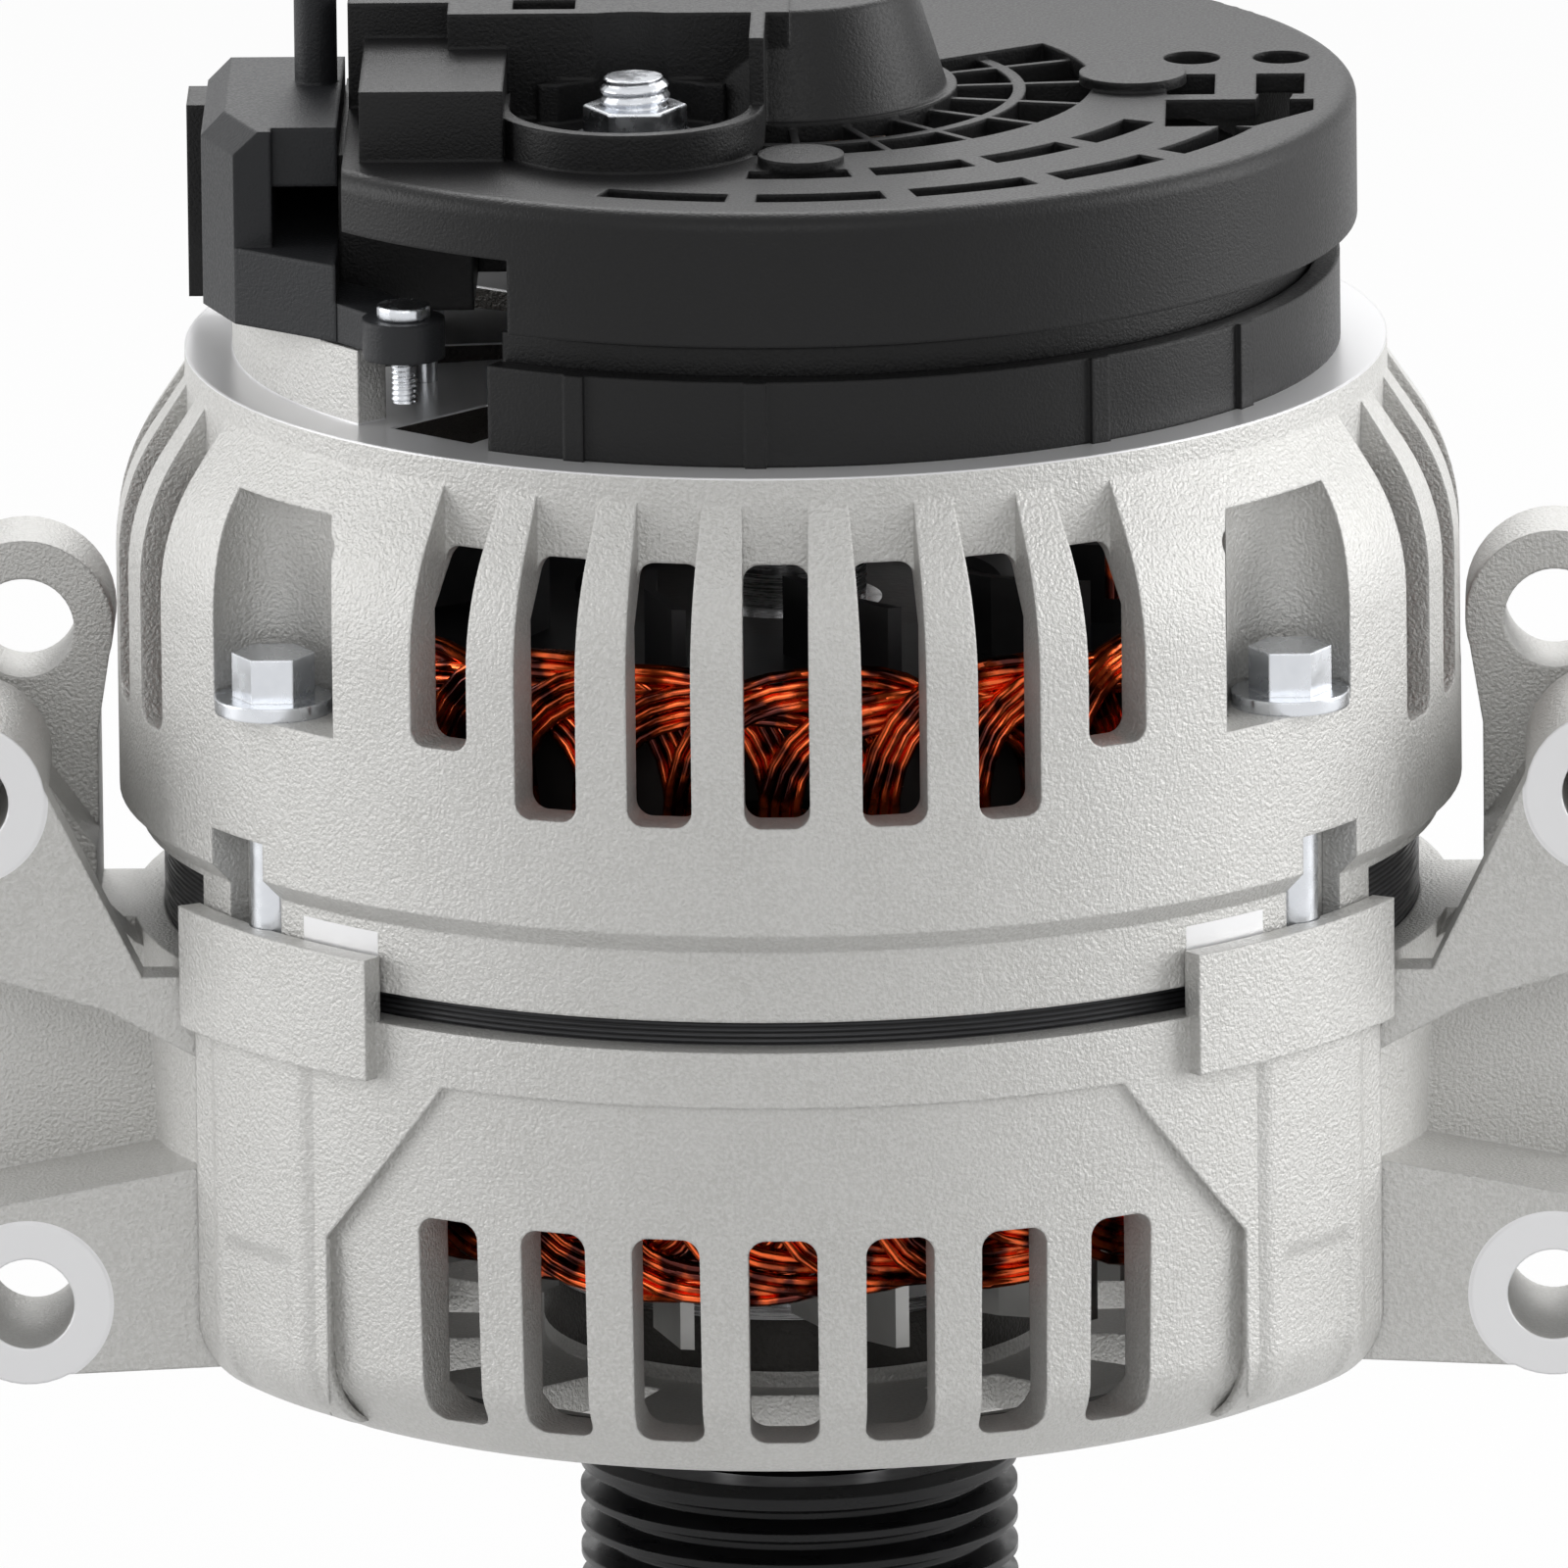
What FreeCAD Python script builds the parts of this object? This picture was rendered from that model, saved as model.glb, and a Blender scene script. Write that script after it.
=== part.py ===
import FreeCAD, Part
import math
import operator
import os
import types

import Sketcher
from FreeCAD import Placement, Rotation, Vector

# A belt-driven alternator. The shaft axis is Z, the pulley is below and the vented cover on top.
# The origin lies on the shaft axis, in the middle plane of the belt. The front, -Y, carries the ears.
# Lengths are millimetres and angles degrees. Angles round the shaft start at the front, -Y, and
# grow towards the right, +X. Names ending in _z are heights above the belt's middle plane.

SIZES = (
    ("Fits", (
        ("slip", 0.05),
        ("overcut", 3.0),
        ("seat_gap", 0.2),
        ("air_gap", 0.35),
    )),
    ("Belt pulley", (
        ("belt_pitch", 3.56),
        ("groove_count", 6),
        ("groove_depth", 2.9),
        ("groove_mouth", 1.5),
        ("groove_foot", 0.35),
        ("pulley_r", 24.65),
        ("pulley_rim", 2.1),
        ("pulley_bevel", 1.2),
        ("pulley_web_r", 19.0),
        ("pulley_hub_r", 12.5),
        ("pulley_recess", 7.0),
        ("nut_recess_r", 17.0),
        ("nut_recess", 6.0),
        ("nut_flats", 24.0),
        ("nut_height", 11.0),
        ("shaft_end", 2.5),
    )),
    ("Shaft and bearings", (
        ("thread_r", 7.9),
        ("front_seat_r", 8.5),
        ("front_bearing_r", 23.5),
        ("front_bearing_z", 19.5),
        ("front_bearing_width", 14.0),
        ("front_ball_r", 4.3),
        ("front_ball_count", 7),
        ("core_seat_r", 10.5),
        ("rear_seat_r", 7.5),
        ("rear_bearing_r", 16.0),
        ("rear_bearing_z", 126.0),
        ("rear_bearing_width", 11.0),
        ("rear_ball_r", 2.9),
        ("rear_ball_count", 8),
        ("race_wall", 2.6),
        ("track_sink", 1.1),
        ("sleeve_wall", 1.5),
        ("spacer_r", 11.5),
        ("cage_wall", 1.2),
        ("cage_reach", 0.8),
        ("retainer", 1.6),
        ("retainer_screw_r", 1.9),
        ("retainer_head_r", 3.04),
        ("retainer_screw_count", 4),
    )),
    ("Rotor", (
        ("rotor_r", 53.8),
        ("rotor_z", 46.0),
        ("rotor_length", 64.0),
        ("pole_disc", 13.0),
        ("pole_root_r", 36.0),
        ("pole_count", 8),
        ("claw_length", 36.0),
        ("claw_root_half", 8.6),
        ("claw_tip_half", 3.6),
        ("claw_root_depth", 11.0),
        ("claw_tip_depth", 4.5),
        ("coil_r", 39.5),
        ("bobbin_wall", 1.4),
        ("core_hub_r", 23.0),
        ("fan_sheet", 1.5),
        ("fan_r", 50.0),
        ("fan_hole_r", 24.0),
        ("blade_height", 9.0),
        ("blade_count", 13),
        ("blade_inner_r", 33.0),
        ("blade_sweep", 3.0),
        ("blade_tip_sweep", 8.0),
        ("blade_tip", 0.965),
        ("blade_heel", 0.975),
        ("slip_core_r", 6.3),
        ("slip_ring_r", 8.6),
        ("slip_ring_width", 6.5),
        ("slip_ring_step", 9.0),
        ("slip_ring_z", 151.0),
        ("slip_sleeve", 5.0),
    )),
    ("Stator", (
        ("core_r", 70.5),
        ("core_bore_r", 54.5),
        ("core_z", 58.5),
        ("core_length", 39.0),
        ("slot_count", 36),
        ("slot_bottom_r", 62.0),
        ("slot_half", 1.7),
        ("slot_mouth_half", 0.9),
        ("slot_lip", 1.2),
        ("head_inner_r", 56.5),
        ("head_outer_r", 62.0),
        ("head_foot", 0.3),
        ("head_brow", 0.8),
        ("front_head_height", 17.0),
        ("rear_head_height", 23.0),
        ("lead_r", 1.0),
    )),
    ("Drive end housing", (
        ("nose_z", 21.7),
        ("nose_r", 49.5),
        ("nose_plate", 4.0),
        ("boss_wall", 5.0),
        ("boss_lip", 1.9),
        ("boss_lip_r", 19.0),
        ("knee_r", 66.0),
        ("knee_z", 25.9),
        ("knee_round", 7.0),
        ("drive_r", 73.6),
        ("drive_wall", 6.6),
        ("drive_top_z", 76.0),
        ("band_r", 74.2),
        ("panel_z", 69.6),
        ("panel_draft", 1.2),
        ("panel_top_half", 37.8),
        ("panel_foot_half", 51.2),
        ("panel_corner_z", 50.0),
        ("flank_half", 33.4),
        ("drive_slot_half", 3.85),
        ("drive_slot_z", 30.2),
        ("drive_slot_top_z", 54.2),
        ("drive_slot_round", 2.0),
        ("drive_slot_pitch_deg", 10.3),
        ("drive_slot_count", 7),
        ("side_slot_deg", 96.0),
        ("side_slot_count", 3),
        ("inlet_inner_r", 32.0),
        ("inlet_outer_r", 45.5),
        ("inlet_half", 5.0),
        ("inlet_outer_half", 8.0),
        ("inlet_count", 10),
        ("collar_r", 76.2),
        ("collar_z", 83.4),
        ("collar_inner_r", 73.5),
        ("collar_start_deg", 37.5),
        ("collar_end_deg", 63.0),
        ("collar_seat", 2.0),
        ("column_inner_r", 62.0),
        ("column_z", 26.6),
        ("column_round", 9.0),
        ("recess_deg", 51.5),
        ("recess_half", 4.6),
        ("recess_depth", 1.0),
        ("recess_top_z", 50.0),
    )),
    ("Mounting ears", (
        ("ear_front_y", 33.0),
        ("ear_length", 23.0),
        ("ear_hole_r", 5.17),
        ("ear_r", 9.3),
        ("ear_edge", 0.9),
        ("arm_root_deg", 25.0),
        ("arm_corner", 0.6),
        ("arm_drop", 0.5),
        ("web_corner", 0.7),
        ("web_lap", 0.7),
        ("plate_heel", 0.3),
        ("plate_edge", 0.8),
        ("plate_lap", 1.5),
        ("tab_neck", 0.6),
        ("low_ear_x", 85.4),
        ("low_ear_z", 37.1),
        ("mid_ear_x", 91.9),
        ("mid_ear_z", 94.9),
        ("tab_x", 86.0),
        ("tab_z", 106.9),
        ("tab_r", 10.1),
        ("tab_hole_r", 5.7),
        ("tab_depth", 12.0),
        ("arm_top_z", 52.6),
        ("arm_bottom_z", 30.0),
        ("web_thickness", 6.0),
        ("plate_thickness", 5.0),
        ("plate_foot_z", 70.8),
        ("plate_knee_z", 74.7),
    )),
    ("Through bolts", (
        ("bolt_circle_r", 71.2),
        ("bolt_deg", 52.65),
        ("bolt_r", 2.9),
        ("bolt_hole_r", 3.1),
        ("bolt_head_flats", 8.0),
        ("bolt_head", 5.0),
        ("bolt_flange_r", 6.6),
        ("bolt_flange", 1.6),
        ("bolt_seat_z", 108.0),
        ("bolt_foot_z", 40.0),
        ("bolt_pocket_r", 7.0),
        ("bolt_wall_gap", 0.3),
        ("bolt_pocket_top_z", 132.0),
    )),
    ("Rear housing", (
        ("rear_bottom_z", 79.2),
        ("rear_side_z", 86.5),
        ("rear_band_r", 73.0),
        ("rear_band_z", 87.2),
        ("rear_r", 75.4),
        ("rear_wall", 5.5),
        ("dome_knee_z", 125.1),
        ("dome_round", 50.0),
        ("flange_r", 67.4),
        ("flange_z", 137.0),
        ("rear_top_z", 139.9),
        ("end_wall", 5.5),
        ("rear_boss_wall", 5.0),
        ("rear_bore_lip", 0.5),
        ("rear_slot_half", 3.65),
        ("rear_slot_z", 101.9),
        ("rear_short_z", 108.8),
        ("rear_slot_top_z", 130.1),
        ("rear_channel_r", 67.4),
        ("rear_slot_pitch_deg", 10.0),
        ("rear_slot_count", 5),
        ("corner_slot_deg", 45.5),
        ("corner_slot_z", 115.9),
        ("rear_slot_round", 1.9),
        ("vent_inner_r", 28.0),
        ("vent_outer_r", 60.0),
        ("vent_half", 6.0),
        ("vent_inner_half", 3.6),
        ("vent_count", 9),
        ("notch_top_z", 93.8),
        ("flank_half_deg", 28.0),
        ("notch_half", 5.0),
        ("notch_deg", 54.0),
        ("tower_r", 62.0),
        ("tower_wall", 4.0),
        ("tower_z", 148.4),
        ("tower_start_deg", -96.0),
        ("tower_span_deg", 47.0),
    )),
    ("Rectifier", (
        ("carrier_r", 62.2),
        ("carrier_wall", 2.6),
        ("carrier_height", 9.7),
        ("carrier_start_deg", -31.0),
        ("carrier_span_deg", 258.0),
        ("carrier_rib", 1.2),
        ("carrier_web", 5.82),
        ("tier_r", 59.0),
        ("tier_height", 3.2),
        ("sink_inner_r", 26.0),
        ("sink_outer_r", 55.0),
        ("sink_thickness", 2.5),
        ("sink_start_deg", -14.0),
        ("sink_span_deg", 214.0),
        ("upper_sink_z", 155.0),
        ("diode_r", 6.2),
        ("diode_height", 4.5),
        ("diode_lead", 3.6),
        ("diode_circle_r", 41.0),
        ("diode_count", 6),
        ("post_r", 3.6),
        ("post_count", 3),
        ("post_circle_r", 50.0),
        ("diode_margin_deg", 20.0),
        ("post_margin_deg", 5.0),
    )),
    ("Rear cover", (
        ("cover_r", 64.2),
        ("cover_wall", 2.2),
        ("skirt_z", 154.0),
        ("short_skirt_z", 162.4),
        ("short_start_deg", 27.5),
        ("short_end_deg", 60.0),
        ("deck_z", 169.0),
        ("deck_round", 2.0),
        ("cover_left_x", 48.3),
        ("end_plate_deg", 36.0),
        ("hub_r", 18.4),
        ("hub_top_r", 14.8),
        ("hub_z", 180.8),
        ("grille_r", 34.8),
        ("grille_rib", 0.9),
        ("grille_rib_count", 8),
        ("grille_ring_r", 26.5),
        ("grille_ring", 1.4),
        ("grille_depth", 1.4),
        ("grille_start_deg", -22.0),
        ("grille_span_deg", 146.0),
        ("grille_rib_start_deg", -14.0),
        ("grille_rib_span_deg", 128.0),
        ("slot_row_r", 44.4),
        ("slot_row_half", 1.9),
        ("outer_row_r", 55.6),
        ("slot_row_start_deg", -4.0),
        ("outer_row_start_deg", -20.0),
        ("row_pitch_deg", 18.0),
        ("row_length_deg", 14.6),
        ("row_count", 6),
        ("dome_button_r", 4.8),
        ("dome_button_deg", 4.0),
        ("wide_button_r", 6.0),
        ("wide_button_deg", 90.0),
        ("dome_button", 1.2),
        ("dome_button_circle_r", 37.0),
        ("cup_x", 16.5),
        ("cup_y", 28.8),
        ("cup_r", 15.0),
        ("cup_wall", 1.6),
        ("cup_height", 4.4),
        ("cup_floor", 2.4),
        ("block_left_x", 37.0),
        ("block_front_y", 16.0),
        ("block_back_y", 12.0),
        ("block_height", 12.0),
        ("step_left_x", 46.4),
        ("step_front_y", 36.9),
        ("step_back_y", 2.0),
        ("step_height", 8.0),
        ("ledge_front_y", 10.2),
        ("lid_window_x", 22.8),
        ("lid_window_y", 9.2),
        ("lid_window_length", 7.0),
        ("lid_window_width", 4.6),
        ("bay_left_x", 43.0),
        ("bay_right_x", 59.5),
        ("bay_front_y", 22.0),
        ("bay_back_y", 9.0),
        ("pane_y", 6.4),
        ("pane_length", 10.0),
        ("pane_width", 5.4),
        ("eyelet_r", 3.2),
        ("eyelet_y", 11.7),
    )),
    ("Battery stud", (
        ("stud_x", 15.9),
        ("stud_y", 27.5),
        ("stud_r", 4.0),
        ("stud_top_z", 176.5),
        ("stud_nut_flats", 13.0),
        ("stud_nut", 6.5),
        ("stud_washer", 1.5),
        ("stud_foot", 4.0),
        ("stud_foot_flats", 12.0),
    )),
    ("Regulator and plug", (
        ("holder_half", 7.0),
        ("holder_gap", 1.6),
        ("holder_length", 24.0),
        ("brush_half", 2.4),
        ("brush_length", 15.0),
        ("brush_play", 0.35),
        ("brush_gap", 0.12),
        ("spring_r", 1.7),
        ("regulator_front_y", 24.0),
        ("regulator_back_y", 14.0),
        ("regulator_z", 149.0),
        ("body_left_x", 64.6),
        ("body_right_x", 49.2),
        ("body_front_y", 27.0),
        ("body_back_y", 8.0),
        ("body_z", 148.8),
        ("body_top_z", 170.7),
        ("body_base", 8.7),
        ("body_roof", 6.7),
        ("body_spine_x", 56.5),
        ("body_corner_x", 60.7),
        ("body_corner_y", 19.0),
        ("body_nose_y", 29.0),
        ("body_chamfer", 2.6),
        ("plug_left_x", 67.1),
        ("plug_length", 9.6),
        ("plug_z", 143.2),
        ("plug_height", 22.0),
        ("plug_wall", 1.8),
        ("plug_depth", 14.0),
        ("pin_half", 0.6),
        ("pin_length", 8.4),
        ("pin_count", 4),
        ("guide_x", 52.1),
        ("guide_y", 4.0),
        ("guide_r", 2.4),
        ("guide_top_z", 188.0),
        ("lug_r", 4.6),
        ("lug_flat", 3.68),
        ("lug_height", 4.4),
        ("lug_x", 41.5),
        ("lug_y", 45.0),
        ("lug_screw_r", 1.5),
        ("lug_screw_drop", 5.2),
    )),
)

SAME_PLACE = 1e-9
SAME_VOLUME = 1e-6
NEAR = 0.01

OPERATIONS = {"+": operator.add, "-": operator.sub, "*": operator.mul, "/": operator.truediv}


class Size:
    """A number with the sheet formula behind it, so that sums of sizes stay bound to the sheet."""

    def __init__(self, number, formula):
        self.number = number
        self.formula = formula

    def __float__(self):
        return float(self.number)

    def __neg__(self):
        return combine(0, "-", self)

    def __add__(self, other):
        return combine(self, "+", other)

    def __sub__(self, other):
        return combine(self, "-", other)

    def __mul__(self, other):
        return combine(self, "*", other)

    def __truediv__(self, other):
        return combine(self, "/", other)

    def __radd__(self, other):
        return combine(other, "+", self)

    def __rsub__(self, other):
        return combine(other, "-", self)

    def __rmul__(self, other):
        return combine(other, "*", self)

    def __rtruediv__(self, other):
        return combine(other, "/", self)


def formula(value):
    return value.formula if isinstance(value, Size) else repr(value)


def combine(first, sign, second):
    number = OPERATIONS[sign](float(first), float(second))
    return Size(number, "(%s %s %s)" % (formula(first), sign, formula(second)))


def sine(angle):
    return Size(math.sin(math.radians(float(angle))), "sin(%s)" % formula(angle))


def cosine(angle):
    return Size(math.cos(math.radians(float(angle))), "cos(%s)" % formula(angle))


def make_sheet():
    """Write the driving sizes into the sheet and give them back by name."""
    table = doc.addObject("Spreadsheet::Sheet", "Sizes")
    named = {}
    row = 1
    for heading, entries in SIZES:
        table.set("A%d" % row, heading)
        row += 1
        for name, number in entries:
            table.set("A%d" % row, name.replace("_", " "))
            table.set("B%d" % row, str(number))
            table.setAlias("B%d" % row, name)
            named[name] = Size(number, "Sizes." + name)
            row += 1
    doc.recompute()
    return types.SimpleNamespace(**named)


def bind(target, path, value):
    """Tie a property to the sheet, or set it where the value is a plain number."""
    if isinstance(value, Size):
        target.setExpression(path, value.formula)
    else:
        setattr(target, path, value)


class Piece:
    """A separate piece: one body, whose label is the piece's name."""

    made = []

    def __init__(self, name):
        self.body = doc.addObject("PartDesign::Body", name)
        self.body.Label = name
        self.name = name
        self.steps = []
        self.volumes = []
        Piece.made.append(self)

    def origin(self, role):
        return [item for item in self.body.Origin.OriginFeatures if item.Role == role][0]

    def feature(self, kind, grows):
        """Add a feature and remember whether it must grow or shrink the piece."""
        self.weigh()
        made = self.body.newObject("PartDesign::" + kind, "%s_%s_%d" % (self.name, kind, len(self.steps)))
        self.steps.append((made, grows))
        return made

    def weigh(self):
        """Work out the latest feature and note its volume, before a later one is laid on it."""
        doc.recompute()
        if self.steps:
            self.volumes.append(self.steps[-1][0].Shape.Volume)

    def draw(self, plane="XY_Plane", lift=0.0, turn=0.0):
        """Start a sketch on an origin plane, lifted along its normal and turned about the shaft.

        On XZ_Plane the sketch's x runs to the right and y upwards, and the lift goes to the front.
        """
        sketch = self.body.newObject("Sketcher::SketchObject", self.name + "_sketch")
        sketch.AttachmentSupport = [(self.origin(plane), "")]
        sketch.MapMode = "FlatFace"
        upright = plane == "XZ_Plane"
        axis = Vector(0, 1, 0) if upright else Vector(0, 0, 1)
        sketch.AttachmentOffset = Placement(Vector(0, 0, 0), Rotation(axis, float(turn) or 0.0))
        if isinstance(turn, Size):
            sketch.setExpression(".AttachmentOffset.Rotation.Angle", turn.formula)
        across = lift * sine(turn) if upright else Size(0.0, "0")
        along = lift * cosine(turn) if upright else lift + Size(0.0, "0")
        sketch.setExpression(".AttachmentOffset.Base.x", across.formula)
        sketch.setExpression(".AttachmentOffset.Base.z", along.formula)
        return sketch

    def pad(self, sketch, length, middle=False, back=False):
        made = self.feature("Pad", True)
        made.Profile = sketch
        made.Midplane = middle
        made.Reversed = back
        bind(made, "Length", length)
        return made

    def cut(self, sketch, length, middle=False, back=False):
        """Cut along the sketch's normal, or against it with back."""
        made = self.feature("Pocket", False)
        made.Profile = sketch
        made.Midplane = middle
        made.Reversed = not back
        bind(made, "Length", length)
        return made

    def spin(self, sketch, angle=360.0):
        made = self.feature("Revolution", True)
        made.Profile = sketch
        made.ReferenceAxis = (sketch, ["V_Axis"])
        bind(made, "Angle", angle)
        return made

    def groove(self, sketch, angle=360.0):
        made = self.feature("Groove", False)
        made.Profile = sketch
        made.ReferenceAxis = (sketch, ["V_Axis"])
        bind(made, "Angle", angle)
        return made

    def polar(self, originals, count, span=360.0, grows=False):
        made = self.feature("PolarPattern", grows)
        made.Originals = originals
        made.Axis = (self.origin("Z_Axis"), [""])
        bind(made, "Angle", span)
        bind(made, "Occurrences", count)
        self.body.Tip = made
        return made

    def repeat_at(self, originals, angles, grows=False):
        """Repeat features round the shaft; the original stands at the first of the angles."""
        made = self.feature("PolarPattern", grows)
        made.Originals = originals
        made.Axis = (self.origin("Z_Axis"), [""])
        made.Mode = "Spacing"
        made.Occurrences = len(angles)
        made.Spacings = [float(after) - float(before) for before, after in zip(angles, angles[1:])]
        self.body.Tip = made
        return made

    def row(self, originals, role, length, count, grows=False):
        made = self.feature("LinearPattern", grows)
        made.Originals = originals
        made.Direction = (self.origin(role), [""])
        bind(made, "Length", length)
        bind(made, "Occurrences", count)
        self.body.Tip = made
        return made

    def mirror(self, originals, plane="YZ_Plane", grows=False):
        made = self.feature("Mirrored", grows)
        made.Originals = originals
        made.MirrorPlane = (self.origin(plane), [""])
        self.body.Tip = made
        return made

    def edges(self, test):
        doc.recompute()
        shape = self.body.Tip.Shape
        return ["Edge%d" % (place + 1) for place, edge in enumerate(shape.Edges) if test(edge)]

    def round(self, radius, test):
        chosen = self.edges(test)
        below = self.body.Tip
        made = self.feature("Fillet", None)
        made.Base = (below, chosen)
        bind(made, "Radius", radius)
        return made

    def bevel(self, size, test):
        chosen = self.edges(test)
        below = self.body.Tip
        made = self.feature("Chamfer", None)
        made.Base = (below, chosen)
        bind(made, "Size", size)
        return made


def hold(sketch, kind, shape, end, value):
    """Hold one coordinate of a point at a sheet value measured from the sketch's origin."""
    if abs(float(value)) < SAME_PLACE:
        axis = -2 if kind == "DistanceX" else -1
        sketch.addConstraint(Sketcher.Constraint("PointOnObject", shape, end, axis))
        return
    place = sketch.addConstraint(Sketcher.Constraint(kind, -1, 1, shape, end, float(value)))
    if isinstance(value, Size):
        sketch.setExpression("Constraints[%d]" % place, value.formula)


def outline(sketch, corners, rounds=()):
    """Draw a closed outline through the corners; rounds gives a radius for some of them."""
    count = len(corners)
    spots = [Vector(float(x), float(y), 0) for x, y in corners]
    lines = [
        sketch.addGeometry(Part.LineSegment(spots[place], spots[(place + 1) % count]), False)
        for place in range(count)
    ]
    for place in range(count):
        sketch.addConstraint(
            Sketcher.Constraint("Coincident", lines[place], 2, lines[(place + 1) % count], 1))
    for place, (x, y) in enumerate(corners):
        hold(sketch, "DistanceX", lines[place], 1, x)
        hold(sketch, "DistanceY", lines[place], 1, y)
    arcs = []
    for place, radius in dict(rounds).items():
        sketch.fillet(lines[place - 1], 2, float(radius), True, True)
        arcs.append((sketch.GeometryCount - 2, radius))
    for arc, radius in arcs:
        place = sketch.addConstraint(Sketcher.Constraint("Radius", arc, float(radius)))
        if isinstance(radius, Size):
            sketch.setExpression("Constraints[%d]" % place, radius.formula)
    return sketch


def circle(sketch, x, y, radius):
    spot = Vector(float(x), float(y), 0)
    ring = sketch.addGeometry(Part.Circle(spot, Vector(0, 0, 1), float(radius)), False)
    hold(sketch, "DistanceX", ring, 3, x)
    hold(sketch, "DistanceY", ring, 3, y)
    place = sketch.addConstraint(Sketcher.Constraint("Radius", ring, float(radius)))
    if isinstance(radius, Size):
        sketch.setExpression("Constraints[%d]" % place, radius.formula)
    return sketch


def box(sketch, left, bottom, right, top, rounds=None):
    """A rectangle; rounds is one radius for all four corners, or radii by corner."""
    corners = [(left, bottom), (right, bottom), (right, top), (left, top)]
    if isinstance(rounds, Size):
        rounds = {place: rounds for place in range(4)}
    return outline(sketch, corners, rounds or ())


def hexagon(sketch, flats, x=0.0, y=0.0):
    """Draw a hexagon of the given width across its flats."""
    corner = flats / math.sqrt(3)
    points = [(x + corner * math.cos(math.radians(60 * turn)), y + corner * math.sin(math.radians(60 * turn)))
              for turn in range(6)]
    return outline(sketch, points)


def ring(name, inner, outer, bottom, height, angle=360.0, turn=0.0):
    """A plain ring round the shaft, or a part of one."""
    piece = Piece(name)
    sketch = piece.draw("XZ_Plane", 0.0, turn)
    box(sketch, inner, bottom, outer, bottom + height)
    piece.spin(sketch, angle)
    return piece


def stack(name, corners, rounds=()):
    """A turned piece, from half of its section; corners are (radius, height)."""
    piece = Piece(name)
    piece.spin(outline(piece.draw("XZ_Plane"), corners, rounds))
    return piece


def bolt_places():
    """The four through bolts, as x and y."""
    across = s.bolt_circle_r * sine(s.bolt_deg)
    along = s.bolt_circle_r * cosine(s.bolt_deg)
    return [(across * side, along * end) for side in (1, -1) for end in (1, -1)]


def circles_at_bolts(piece, height, radius):
    """One sketch with a circle at each through bolt."""
    sketch = piece.draw("XY_Plane", height)
    for x, y in bolt_places():
        circle(sketch, x, y, radius)
    return sketch


def four_starts(start, span):
    """Where four equal arcs start, mirrored to both sides and to the back."""
    return [start, 180.0 - start - span, 180.0 + start, 360.0 - start - span]


def make_pulley():
    half = s.belt_pitch * s.groove_count / 2 + s.pulley_rim
    piece = stack("pulley", [
        (s.front_seat_r + s.slip, -half + s.nut_recess),
        (s.nut_recess_r, -half + s.nut_recess),
        (s.nut_recess_r, -half),
        (s.pulley_r - s.pulley_bevel, -half),
        (s.pulley_r, -half + s.pulley_bevel),
        (s.pulley_r, half - s.pulley_bevel),
        (s.pulley_r - s.pulley_bevel, half),
        (s.pulley_web_r, half),
        (s.pulley_web_r, half - s.pulley_recess),
        (s.pulley_hub_r, half - s.pulley_recess),
        (s.pulley_hub_r, half),
        (s.front_seat_r + s.slip, half),
    ])
    first = s.belt_pitch * (1 - s.groove_count) / 2
    mouth_r = s.pulley_r + s.air_gap
    vee = outline(piece.draw("XZ_Plane"), [
        (mouth_r, first - s.groove_mouth),
        (mouth_r, first + s.groove_mouth),
        (s.pulley_r - s.groove_depth, first + s.groove_foot),
        (s.pulley_r - s.groove_depth, first - s.groove_foot),
    ])
    groove = piece.groove(vee)
    piece.row([groove], "Z_Axis", s.belt_pitch * (s.groove_count - 1), s.groove_count)
    return half


def make_shaft(pulley_half):
    """The stepped shaft: thread, pulley and front bearing seat, core seat, rear bearing and ring seat."""
    top = s.slip_ring_z + s.slip_ring_step + s.slip_ring_width + s.seat_gap
    recess = -pulley_half + s.nut_recess
    stack("rotor_shaft", [
        (0, recess - s.nut_height - s.shaft_end),
        (s.thread_r, recess - s.nut_height - s.shaft_end),
        (s.thread_r, recess),
        (s.front_seat_r, recess),
        (s.front_seat_r, s.front_bearing_z + s.front_bearing_width),
        (s.core_seat_r, s.front_bearing_z + s.front_bearing_width),
        (s.core_seat_r, s.rotor_z + s.rotor_length),
        (s.rear_seat_r + s.race_wall / 2, s.rotor_z + s.rotor_length),
        (s.rear_seat_r + s.race_wall / 2, s.rear_bearing_z),
        (s.rear_seat_r, s.rear_bearing_z),
        (s.rear_seat_r, s.rear_bearing_z + s.rear_bearing_width + s.slip_sleeve / 2),
        (s.slip_core_r - s.slip_sleeve / 2, s.rear_bearing_z + s.rear_bearing_width + s.slip_sleeve / 2),
        (s.slip_core_r - s.slip_sleeve / 2, top),
        (0, top),
    ])
    nut = Piece("pulley_nut")
    nut.pad(hexagon(nut.draw("XY_Plane", recess - s.nut_height), s.nut_flats), s.nut_height)
    nut.cut(circle(nut.draw("XY_Plane", recess - s.nut_height), 0, 0, s.thread_r + s.slip), s.nut_height)
    ring("bearing_spacer", s.front_seat_r + s.slip, s.spacer_r, pulley_half, s.front_bearing_z - pulley_half)


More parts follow.
